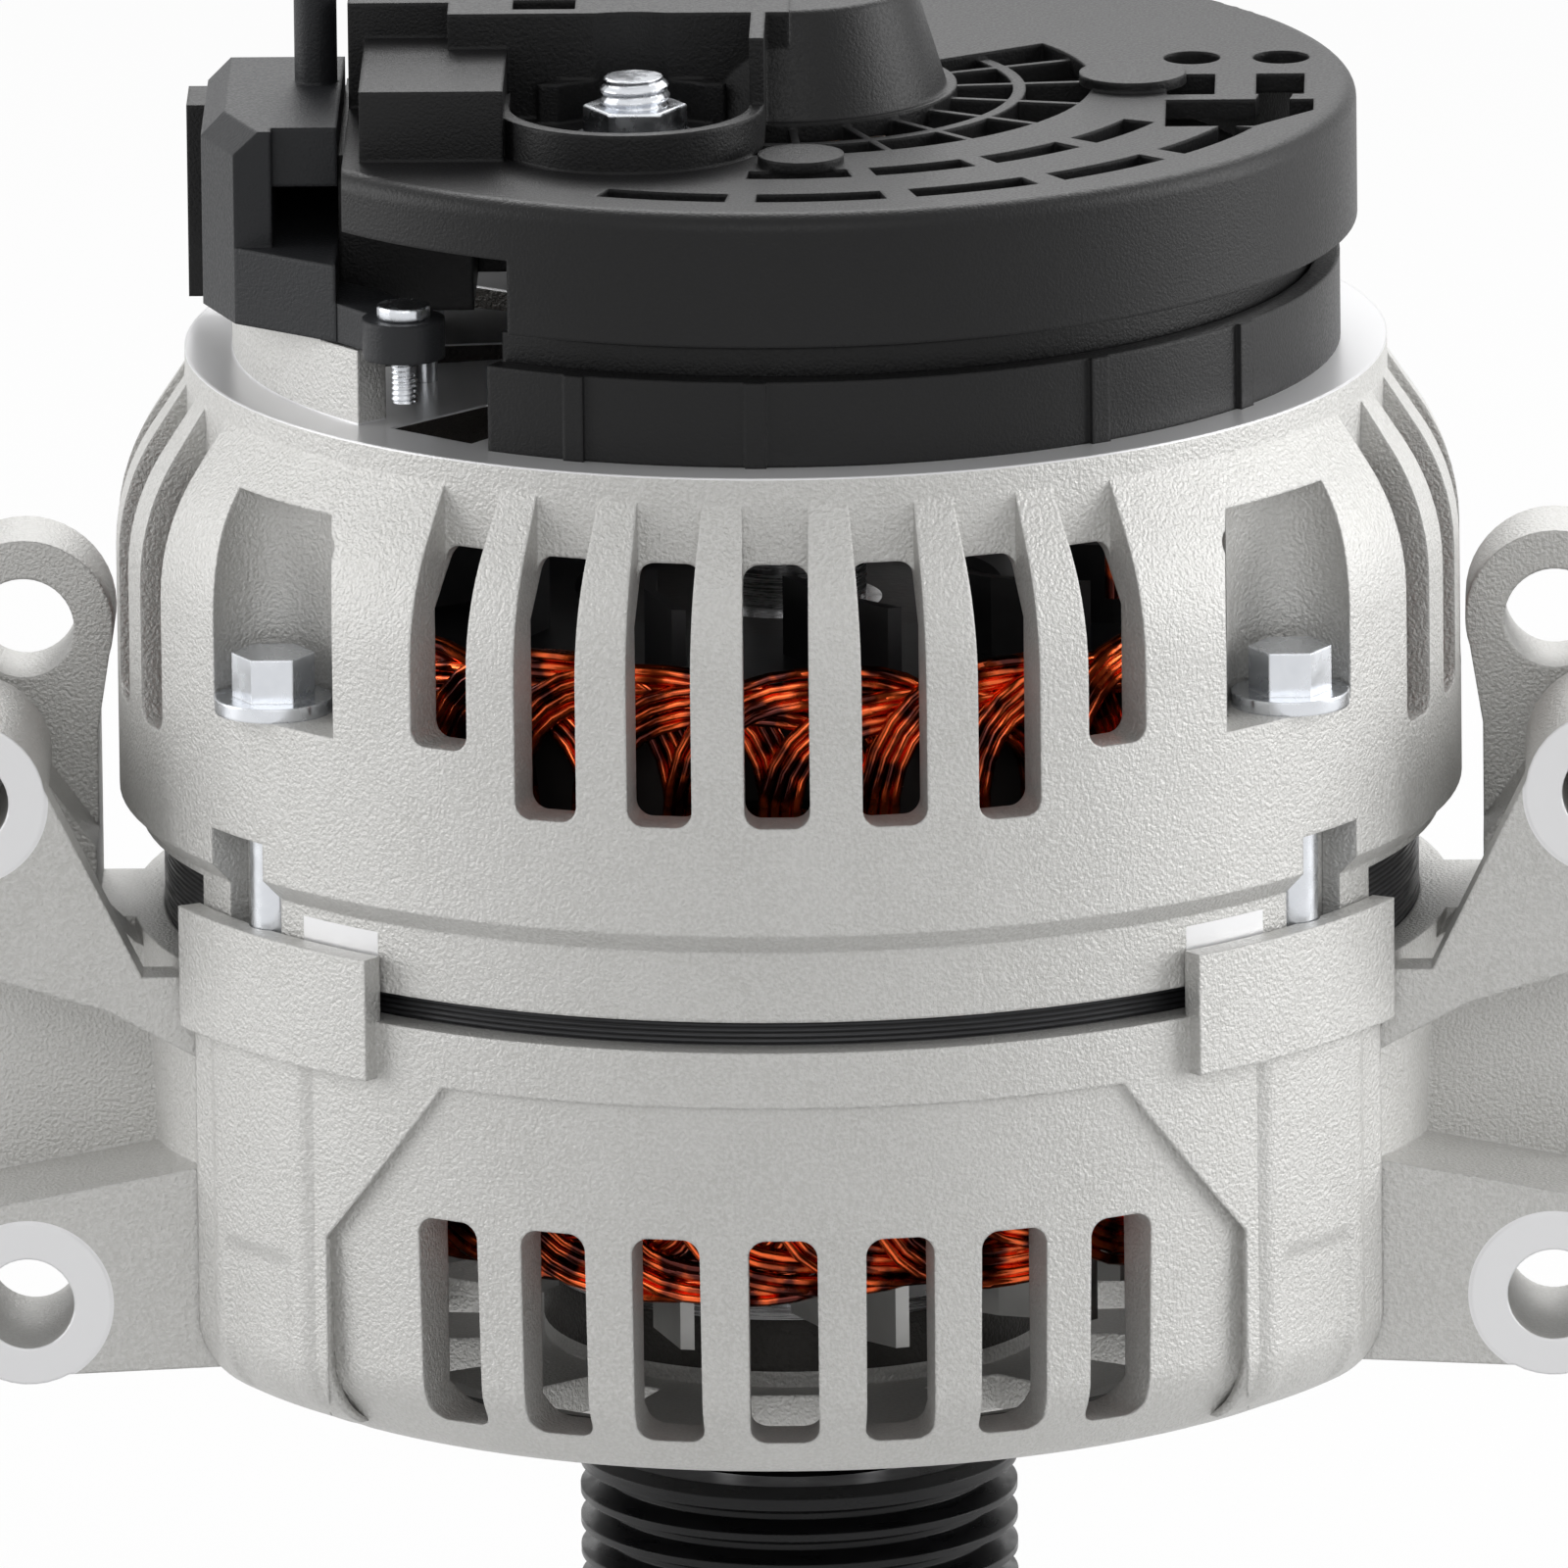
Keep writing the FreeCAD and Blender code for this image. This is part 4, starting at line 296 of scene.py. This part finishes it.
def pillar(middle_deg, corners, faces):
    """Adds a pillar to the lists of corners and faces: an outer sheet, an inner one and the edges."""
    first = len(corners)
    for inner in (False, True):
        for row in range(PILLAR_ROWS + 1):
            z = PILLAR_LOW_Z + (PILLAR_TOP_Z - PILLAR_LOW_Z) * row / PILLAR_ROWS
            inner_r = pillar_radius(PILLAR_HALF_DEG, z) - PILLAR_DEPTH
            for column in range(PILLAR_COLUMNS + 1):
                off = (2 * column / PILLAR_COLUMNS - 1) * PILLAR_HALF_DEG
                corners.append(polar(inner_r if inner else pillar_radius(off, z), middle_deg + off, z))
    wide = PILLAR_COLUMNS + 1
    sheet_size = wide * (PILLAR_ROWS + 1)
    for row in range(PILLAR_ROWS):
        for column in range(PILLAR_COLUMNS):
            low = first + row * wide + column
            faces.append((low, low + 1, low + wide + 1, low + wide))
            low += sheet_size
            faces.append((low, low + wide, low + wide + 1, low + 1))
        for low, ahead in ((first + row * wide, wide), (first + (row + 2) * wide - 1, -wide)):
            faces.append((low, low + ahead, low + ahead + sheet_size, low + sheet_size))
    for column in range(PILLAR_COLUMNS):
        for low, ahead in ((first + column + 1, -1), (first + PILLAR_ROWS * wide + column, 1)):
            faces.append((low, low + ahead, low + ahead + sheet_size, low + sheet_size))


pillar_corners, pillar_faces = [], []
for angle in (PILLAR_DEG, 180 - PILLAR_DEG, 180 + PILLAR_DEG, 360 - PILLAR_DEG):
    pillar(angle, pillar_corners, pillar_faces)
columns = mesh_piece("drive_end_columns", pillar_corners, pillar_faces, "stator_frame")
drive_cast.wear(columns.name)


# The stator core.
# Thin varnished iron sheets are stacked and welded. Only their edges show between the castings.
SHEET_MM = 0.62

core = Finish("laminated_iron", (0.035, 0.036, 0.04), roughness=0.42, metallic=0.35)
turn = core.z * (2 * math.pi / (SHEET_MM * MM))
ripple = core.maths("SINE", turn) * 0.5 + 0.5
streak = core.noise(size_mm=1.2, stretch=(0.2, 0.2, 3.0))
core.set(core.mix(ripple * streak, (0.008, 0.008, 0.009), (0.075, 0.077, 0.084)),
         core.steps(streak, start=0.3, end=0.5))
core.bump(ripple, depth_mm=0.12, strength=0.9)
core.wear("stator_core")


# The windings.
# Round copper wire in red enamel comes out of each slot, arches over the iron in bundles and
# goes down again three slots on. Drops of varnish glue the bundles together.
SLOT_COUNT, SLOT_STEP = 36, 3
CORE_LOW_Z, CORE_TOP_Z = 58.5, 97.5
REAR_HEAD_HEIGHT, FRONT_HEAD_HEIGHT = 22.2, 16.6
HEAD_INNER_R, HEAD_OUTER_R = 56.7, 61.9
WIRE_R, WIRE_SIDES, WIRE_STEPS = 0.62, 6, 16
STRANDS, ROWS = 8, 4
COLUMN_PITCH, ROW_PITCH, ROW_PITCH_DEG = 1.25, 1.25, 1.25
ARCH_LEAST, ARCH_MOST, ARCH_POWER = 0.62, 0.96, 2.6
SWAY_DEG, SLACK, SLACK_SHARE = 1.2, 0.25, 0.02
WAVE_DEPTH, WAVE_RADIANS = 0.3, 7
OFF_EVERY_WIRE = (0.31, 0.52, 0.79)

copper = Finish("enamelled_copper", (0.62, 0.16, 0.05), roughness=0.28, metallic=0.95, coat=0.3)
# Random patches of near black and bright copper: painted shade between the wires and painted highlights
# on them.
glint_and_shade_patches = copper.noise(size_mm=3.5)
grime = copper.noise(size_mm=1.4, detail=3.0)
copper.set(copper.mix(copper.steps(glint_and_shade_patches, low=0.38, high=0.62), (0.07, 0.007, 0.003), (0.92, 0.14, 0.028)),
           copper.steps(grime, high=0.75, start=0.14, end=0.3))
copper.bump(grime, depth_mm=0.05, strength=0.4)
copper.wear("slot_conductors", "phase_leads", "field_coil")


def wire(points, corners, faces):
    """Adds a round wire along points to the lists of corners and faces, with closed ends."""
    first = len(corners)
    across = Vector(OFF_EVERY_WIRE)
    for index, point in enumerate(points):
        ahead = points[min(index + 1, len(points) - 1)] - points[max(index - 1, 0)]
        across = (across - ahead * (across.dot(ahead) / ahead.length_squared)).normalized()
        other = ahead.normalized().cross(across)
        for side in range(WIRE_SIDES):
            angle = 2 * math.pi * side / WIRE_SIDES
            corners.append(point + (across * math.cos(angle) + other * math.sin(angle)) * (WIRE_R * MM))
    for index in range(len(points) - 1):
        low, high = first + index * WIRE_SIDES, first + (index + 1) * WIRE_SIDES
        for side in range(WIRE_SIDES):
            beside = (side + 1) % WIRE_SIDES
            faces.append((low + side, low + beside, high + beside, high + side))
    last = first + (len(points) - 1) * WIRE_SIDES
    faces.append(tuple(first + side for side in reversed(range(WIRE_SIDES))))
    faces.append(tuple(last + side for side in range(WIRE_SIDES)))


def winding_head(name, edge_z, height, seed):
    """One crown of wire bundles that starts at edge_z and reaches height, up or down."""
    chance = random.Random(seed)
    corners, faces = [], []
    for slot in range(SLOT_COUNT):
        tall = chance.uniform(ARCH_LEAST, ARCH_MOST)
        sway = chance.uniform(-SWAY_DEG, SWAY_DEG)
        for strand in range(STRANDS):
            column, row = divmod(strand, ROWS)
            out = HEAD_OUTER_R - WIRE_R - column * COLUMN_PITCH - chance.uniform(0, SLACK)
            inner = HEAD_INNER_R + WIRE_R + column * COLUMN_PITCH + chance.uniform(0, SLACK)
            lift = tall - row * ROW_PITCH / abs(height) - chance.uniform(0, SLACK_SHARE)
            points = []
            for step in range(WIRE_STEPS + 1):
                along = step / WIRE_STEPS
                arch = 1 - abs(2 * along - 1) ** ARCH_POWER
                swing = soften(along, 0.0, 1.0)
                spread = (row - (ROWS - 1) / 2) * ROW_PITCH_DEG + sway * arch
                angle = (slot + swing * SLOT_STEP) * 360 / SLOT_COUNT + spread * (1 - 2 * along)
                wave = WAVE_DEPTH * math.sin(along * WAVE_RADIANS + strand)
                radius = out + (inner - out) * swing + wave
                radius = min(max(radius, HEAD_INNER_R + WIRE_R), HEAD_OUTER_R - WIRE_R)
                points.append(polar(radius, angle, edge_z + height * lift * arch))
            wire(points, corners, faces)
    piece = mesh_piece(name + "_wires", corners, faces, "stator_frame")
    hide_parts(name)
    copper.wear(piece.name)


winding_head("winding_rear_head", CORE_TOP_Z, REAR_HEAD_HEIGHT, seed=4)
winding_head("winding_front_head", CORE_LOW_Z, -FRONT_HEAD_HEIGHT, seed=9)


# The rotor.
# Two forged claw poles close round the field coil on the shaft, with a pressed sheet fan fixed to
# each. The rear fan is coloured near black as painted shade for the dark inside of the housing.
# The slip rings at the rear are copper on a moulded sleeve.

def mottled(name, colour, dark, light, roughness, metallic, patch_mm,
            grain_mm=None, depth_mm=None, strength=0.3):
    """A finish in patches of two tones, over a grain where grain_mm and depth_mm give one."""
    made = Finish(name, colour, roughness, metallic)
    made.set(made.mix(made.noise(patch_mm), dark, light))
    if grain_mm:
        made.bump(made.noise(grain_mm), depth_mm, strength)
    return made


iron = mottled("pole_iron", (0.05, 0.05, 0.053), (0.035, 0.03, 0.028), (0.085, 0.08, 0.078),
               roughness=0.5, metallic=0.6, patch_mm=6.0, grain_mm=0.9, depth_mm=0.1, strength=0.4)
iron.wear("claw_pole_front", "claw_pole_rear")
sheet = mottled("fan_sheet", (0.6, 0.6, 0.58), (0.52, 0.52, 0.5), (0.68, 0.68, 0.67),
                roughness=0.38, metallic=0.9, patch_mm=4.0, grain_mm=0.5, depth_mm=0.05)
sheet.wear("front_fan")
# Painted shade: the rear fan is coloured near black because it sits in the dark inside of the housing.
shade_dark_fan = mottled("fan_dark_as_painted_shade", (0.02, 0.02, 0.021), (0.015, 0.015, 0.016), (0.032, 0.032, 0.034),
                  roughness=0.45, metallic=0.3, patch_mm=3.0, grain_mm=0.5, depth_mm=0.05)
shade_dark_fan.wear("rear_fan")

ring_copper = Finish("slip_ring_copper", (0.7, 0.42, 0.25), roughness=0.25, metallic=1.0)
ring_copper.set(ring_copper.mix(ring_copper.noise(size_mm=0.4, stretch=(0.1, 0.1, 3.0)),
                                (0.6, 0.33, 0.19), (0.78, 0.5, 0.32)))
ring_copper.wear("slip_ring_inner", "slip_ring_outer")


# The shaft and its bearings.
# Ground and turned steel, with fine rings from the wheel round the axis.
ground = Finish("ground_steel", (0.6, 0.6, 0.61), roughness=0.25, metallic=1.0)
rings = ground.noise(size_mm=0.5, stretch=(0.1, 0.1, 4.0))
ground.set(ground.mix(rings, (0.5, 0.5, 0.51), (0.72, 0.72, 0.73)),
           ground.steps(rings, start=0.18, end=0.34))
ground.wear("rotor_shaft", "front_bearing_outer", "front_bearing_inner", "front_bearing_balls",
            "front_bearing_cage", "rear_bearing_outer", "rear_bearing_inner", "rear_bearing_balls",
            "rear_bearing_cage", "bearing_spacer", "bearing_retainer")


# The belt pulley.
# Turned steel with ribs for the belt, blackened and lightly oiled.
black_steel = Finish("blackened_steel", (0.012, 0.012, 0.013), roughness=0.3, gleam=0.25)
film = black_steel.noise(size_mm=2.2, stretch=(0.4, 0.4, 3.0))
black_steel.set(black_steel.mix(film, (0.004, 0.004, 0.0045), (0.011, 0.011, 0.012)),
                black_steel.steps(film, start=0.24, end=0.4))
black_steel.bump(black_steel.noise(size_mm=0.35), depth_mm=0.02, strength=0.3, edge_mm=0.25)
black_steel.wear("pulley")


# The fasteners and the brush springs.
# Steel, zinc plated and passivated, with a bluish gleam and duller patches.
zinc = Finish("zinc_plate", (0.7, 0.72, 0.75), roughness=0.22, metallic=1.0)
cloud = zinc.noise(size_mm=2.4)
zinc.set(zinc.mix(cloud, (0.62, 0.64, 0.68), (0.76, 0.78, 0.81)), zinc.steps(cloud, start=0.2, end=0.3))
zinc.bump(zinc.noise(size_mm=0.6), depth_mm=0.015, strength=0.2, edge_mm=0.35)
zinc.wear("through_bolts", "regulator_screws", "retainer_screws", "pulley_nut", "brush_spring_inner",
          "brush_spring_outer")


# The battery stud with its nut, and the screw of the connector.
# All are plated steel. The stud and the screw have a rolled thread, and the nut a flange under its
# six flats. Each is drawn ring by ring up its axis.
STUD_PLACE = (-15.9, -27.5)
STUD_LOW_Z, STUD_FOOT_Z, STUD_TOP_Z = 157.5, 161.5, 176.5
STUD_FOOT_R, STUD_R, STUD_PITCH, STUD_THREAD = 6.92, 4.0, 1.25, 0.5
NUT_LOW_Z, NUT_FLANGE_Z, NUT_TOP_Z = 168.8, 169.9, 173.3
NUT_FLANGE_R, NUT_R = 6.9, 5.8
SCREW_PLACE = (-41.5, -45.0)
SCREW_LOW_Z, SCREW_HEAD_Z, SCREW_TOP_Z = 143.6, 153.2, 154.7
SCREW_R, SCREW_HEAD_R, SCREW_PITCH, SCREW_THREAD = 1.5, 3.0, 0.6, 0.22
FLATS = 6
CHAMFER, CHAMFER_SHARE, THREAD_END_SHARE = 0.2, 0.96, 0.14
RING_SIDES, THREAD_STEPS = 24, 8


def plain_rings(radius, low, high, flats=0):
    """Rings of a plain stretch with two chamfers, as (z, radius, flats, pitch, depth)."""
    heights = ((low, CHAMFER_SHARE), (low + CHAMFER, 1.0), (high - CHAMFER, 1.0), (high, CHAMFER_SHARE))
    return [(z, radius * share, flats, 1.0, 0.0) for z, share in heights]


def thread_rings(radius, low, high, pitch, depth):
    """Rings of a threaded stretch that narrows in its last turn, as (z, radius, flats, pitch, depth)."""
    count = round((high - low) / pitch) * THREAD_STEPS
    rings = []
    for step in range(count + 1):
        z = low + (high - low) * step / count
        narrow = max(0.0, 1.0 - (high - z) / pitch) * THREAD_END_SHARE
        rings.append((z, radius * (1.0 - narrow), 0, pitch, depth))
    return rings


def screw_piece(node, name, centre, rings):
    """Replaces a CAD node with the solid that the rings wrap round a vertical axis."""
    corners, faces = [], []
    for z, radius, flats, pitch, depth in rings:
        for side in range(RING_SIDES):
            angle = 2 * math.pi * side / RING_SIDES
            reach = radius
            if flats:
                half = math.pi / flats
                reach = radius * math.cos(half) / math.cos(angle % (2 * half) - half)
            phase = (z / pitch - side / RING_SIDES) % 1.0
            reach -= depth * abs(2 * phase - 1)
            x, y = centre[0] + reach * math.cos(angle), centre[1] + reach * math.sin(angle)
            corners.append(Vector((x, y, z)) * MM)
    for row in range(len(rings) - 1):
        low, high = row * RING_SIDES, (row + 1) * RING_SIDES
        for side in range(RING_SIDES):
            beside = (side + 1) % RING_SIDES
            faces.append((low + side, low + beside, high + beside, high + side))
    top = (len(rings) - 1) * RING_SIDES
    faces.append(tuple(reversed(range(RING_SIDES))))
    faces.append(tuple(range(top, top + RING_SIDES)))
    piece = mesh_piece(name, corners, faces, "stator_frame", smooth=False)
    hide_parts(node)
    zinc.wear(piece.name)


screw_piece("battery_stud", "battery_stud_threaded", STUD_PLACE,
            plain_rings(STUD_FOOT_R, STUD_LOW_Z, STUD_FOOT_Z, FLATS)
            + thread_rings(STUD_R, STUD_FOOT_Z, STUD_TOP_Z, STUD_PITCH, STUD_THREAD))
screw_piece("battery_stud_nut", "battery_stud_nut_flanged", STUD_PLACE,
            plain_rings(NUT_FLANGE_R, NUT_LOW_Z, NUT_FLANGE_Z)
            + plain_rings(NUT_R, NUT_FLANGE_Z, NUT_TOP_Z, FLATS))
screw_piece("connector_screw", "connector_screw_threaded", SCREW_PLACE,
            thread_rings(SCREW_R, SCREW_LOW_Z, SCREW_HEAD_Z, SCREW_PITCH, SCREW_THREAD)
            + plain_rings(SCREW_HEAD_R, SCREW_HEAD_Z, SCREW_TOP_Z))


# The rear cover and the other mouldings.
# Glass filled nylon with the fine texture of a spark eroded mould, black but for the connector's
# body and the rear bearing's sleeve, which are dark grey.
MOULD_GRAIN_MM, MOULD_PATCH_MM = 0.33, 14.0
SMOOTHER, ROUGHER = 0.05, 0.07


def moulded(name, dark, light, roughness):
    """Nylon whose colour and gloss follow the mould's grain, as rough as roughness on average."""
    made = Finish(name, dark, roughness, gleam=0.24)
    grain = made.noise(MOULD_GRAIN_MM)
    patch = made.noise(MOULD_PATCH_MM)
    made.set(made.mix(patch * 0.5 + grain * 0.5, dark, light),
             made.steps(grain, start=roughness - SMOOTHER, end=roughness + ROUGHER))
    made.bump(grain, depth_mm=0.1, strength=0.6, edge_mm=0.6)
    return made


black = moulded("black_nylon", (0.005, 0.005, 0.0053), (0.012, 0.012, 0.0125), roughness=0.4)
black.wear("rear_cover", "terminal_carrier", "plug_socket", "brush_holder", "regulator", "coil_bobbin",
           "slip_ring_sleeve", "sink_spacers")
grey = moulded("grey_nylon", (0.014, 0.015, 0.0165), (0.027, 0.028, 0.031), roughness=0.44)
grey.wear("connector_body", "rear_bearing_sleeve")


# The rectifier's plates, the diodes and the plug's pins.
# The heat sinks are stamped from aluminium plate and carry the diodes between the carrier and the
# cover. The diodes' cans and the pins are tinned copper.
plate = mottled("heat_sink_plate", (0.5, 0.5, 0.49), (0.4, 0.4, 0.4), (0.62, 0.62, 0.61),
                roughness=0.4, metallic=0.9, patch_mm=2.0, grain_mm=0.6, depth_mm=0.04)
plate.wear("negative_heat_sink", "positive_heat_sink")
tinned = mottled("tinned_copper", (0.62, 0.6, 0.56), (0.5, 0.48, 0.44), (0.75, 0.74, 0.7),
                 roughness=0.3, metallic=1.0, patch_mm=1.2)
tinned.wear("plug_pins", "diodes_negative", "diodes_positive")


# The brushes.
# Blocks of pressed carbon and copper powder. Springs push them on the slip rings.
carbon = mottled("brush_carbon", (0.03, 0.027, 0.027), (0.02, 0.018, 0.018), (0.08, 0.05, 0.04),
                 roughness=0.5, metallic=0.3, patch_mm=0.4)
carbon.wear("brush_inner", "brush_outer")


# The floor.
# A pale sweep that glows plain white to the eye, in reflections and through clear things, and
# keeps a little of the object's shadow.
FLOOR_REACH, FLOOR_GAP, FLOOR_GLOW = 6.0, 0.0002, 0.94

floor_z = cad_box[0].z - FLOOR_GAP
floor_mesh = bpy.data.meshes.new("floor")
floor_mesh.from_pydata([(x * FLOOR_REACH, y * FLOOR_REACH, floor_z)
                        for x, y in ((-1, -1), (1, -1), (1, 1), (-1, 1))], [], [(0, 1, 2, 3)])
floor = new_object("floor", floor_mesh)
paper = Finish("pale_floor", (0.8, 0.8, 0.8), roughness=0.9)
rays = paper.node("LightPath", output=None)
direct, mirrored, through = (Value(paper, rays.outputs[name]) for name in
                             ("Is Camera Ray", "Is Glossy Ray", "Is Transmission Ray"))
lit = Value(paper, paper.surface.outputs[0])
glow = paper.node("Emission", {}, {"Color": (1.0, 1.0, 1.0), "Strength": 1.0})
shown = paper.node("MixShader", {}, {0: (direct | mirrored | through) * FLOOR_GLOW, 1: lit, 2: glow})
paper.put(paper.nodes["Material Output"].inputs["Surface"], shown)
floor_mesh.materials.append(paper.material)


# The light.
# Four soft boxes: one above and behind, one on each side, and a weak one in front. The world is
# white to the eye and in reflections, and lights matt surfaces at a fifth of that.
MATT_LIGHT = 0.2
LOOK_AT = Vector((0.0, 0.0, 0.09))

world = bpy.data.worlds.new("studio")
bpy.context.scene.world = world
world.use_nodes = True
sky = Shading(world.node_tree)
paths = sky.node("LightPath", output=None)
other_rays = 1 - Value(sky, paths.outputs["Is Diffuse Ray"])
level = sky.node("MapRange", {}, {"Value": other_rays, "To Min": MATT_LIGHT, "To Max": 1.0})
background = sky.nodes["Background"]
sky.put(background.inputs["Color"], (1.0, 1.0, 1.0))
sky.put(background.inputs["Strength"], level)


def soft_box(name, place, width, height, power):
    light = bpy.data.lights.new(name, "AREA")
    light.shape = "RECTANGLE"
    light.size, light.size_y = width, height
    light.energy = power
    lamp = new_object(name, light)
    lamp.location = place
    lamp.rotation_euler = (LOOK_AT - Vector(place)).to_track_quat("-Z", "Y").to_euler()


soft_box("top_box", (0.1, 0.6, 0.75), width=0.8, height=0.5, power=4.5)
soft_box("left_box", (-1.0, 0.0, 0.4), width=0.7, height=0.9, power=6.0)
soft_box("right_box", (1.0, 0.05, 0.4), width=0.7, height=0.9, power=8.5)
soft_box("front_box", (0.0, -1.1, 0.6), width=0.7, height=0.4, power=1.7)


# The camera.
# A long lens at the photograph's angle, 14 degrees up. Its place follows from the scale and from
# the pixel at which the part's origin, on the axis of the shaft, lies in the frame.
IMAGE_SIDE, PIXELS_PER_MM, ORIGIN_PIXEL = 1600, 9.08, (816.3, 1577.8)
DISTANCE, SENSOR_MM = 5.0, 36.0
ELEVATION_DEG, AZIMUTH_DEG, ROLL_DEG = 14.0, 1.2, 0.68

elevation, azimuth, roll = (math.radians(angle) for angle in (ELEVATION_DEG, AZIMUTH_DEG, ROLL_DEG))
back = Vector((math.sin(azimuth) * math.cos(elevation), -math.cos(azimuth) * math.cos(elevation),
               math.sin(elevation)))
level_right = Vector((math.cos(azimuth), math.sin(azimuth), 0.0))
level_up = back.cross(level_right)
right = level_right * math.cos(roll) - level_up * math.sin(roll)
up = level_right * math.sin(roll) + level_up * math.cos(roll)
middle_x = (IMAGE_SIDE / 2 - ORIGIN_PIXEL[0]) / PIXELS_PER_MM * MM
middle_z = (ORIGIN_PIXEL[1] - IMAGE_SIDE / 2) / PIXELS_PER_MM * MM
spot = right * middle_x + up * middle_z + back * (DISTANCE + middle_z * math.sin(elevation))
camera_data = bpy.data.cameras.new("camera")
camera_data.sensor_width = SENSOR_MM
camera_data.lens = SENSOR_MM * DISTANCE * PIXELS_PER_MM / (IMAGE_SIDE * MM)
camera_data.clip_start, camera_data.clip_end = 0.1, 50.0
camera = new_object("camera", camera_data)
camera.matrix_world = Matrix((
    (right.x, up.x, back.x, spot.x),
    (right.y, up.y, back.y, spot.y),
    (right.z, up.z, back.z, spot.z),
    (0.0, 0.0, 0.0, 1.0)))
bpy.context.scene.camera = camera
bpy.context.scene.view_settings.view_transform = "Standard"
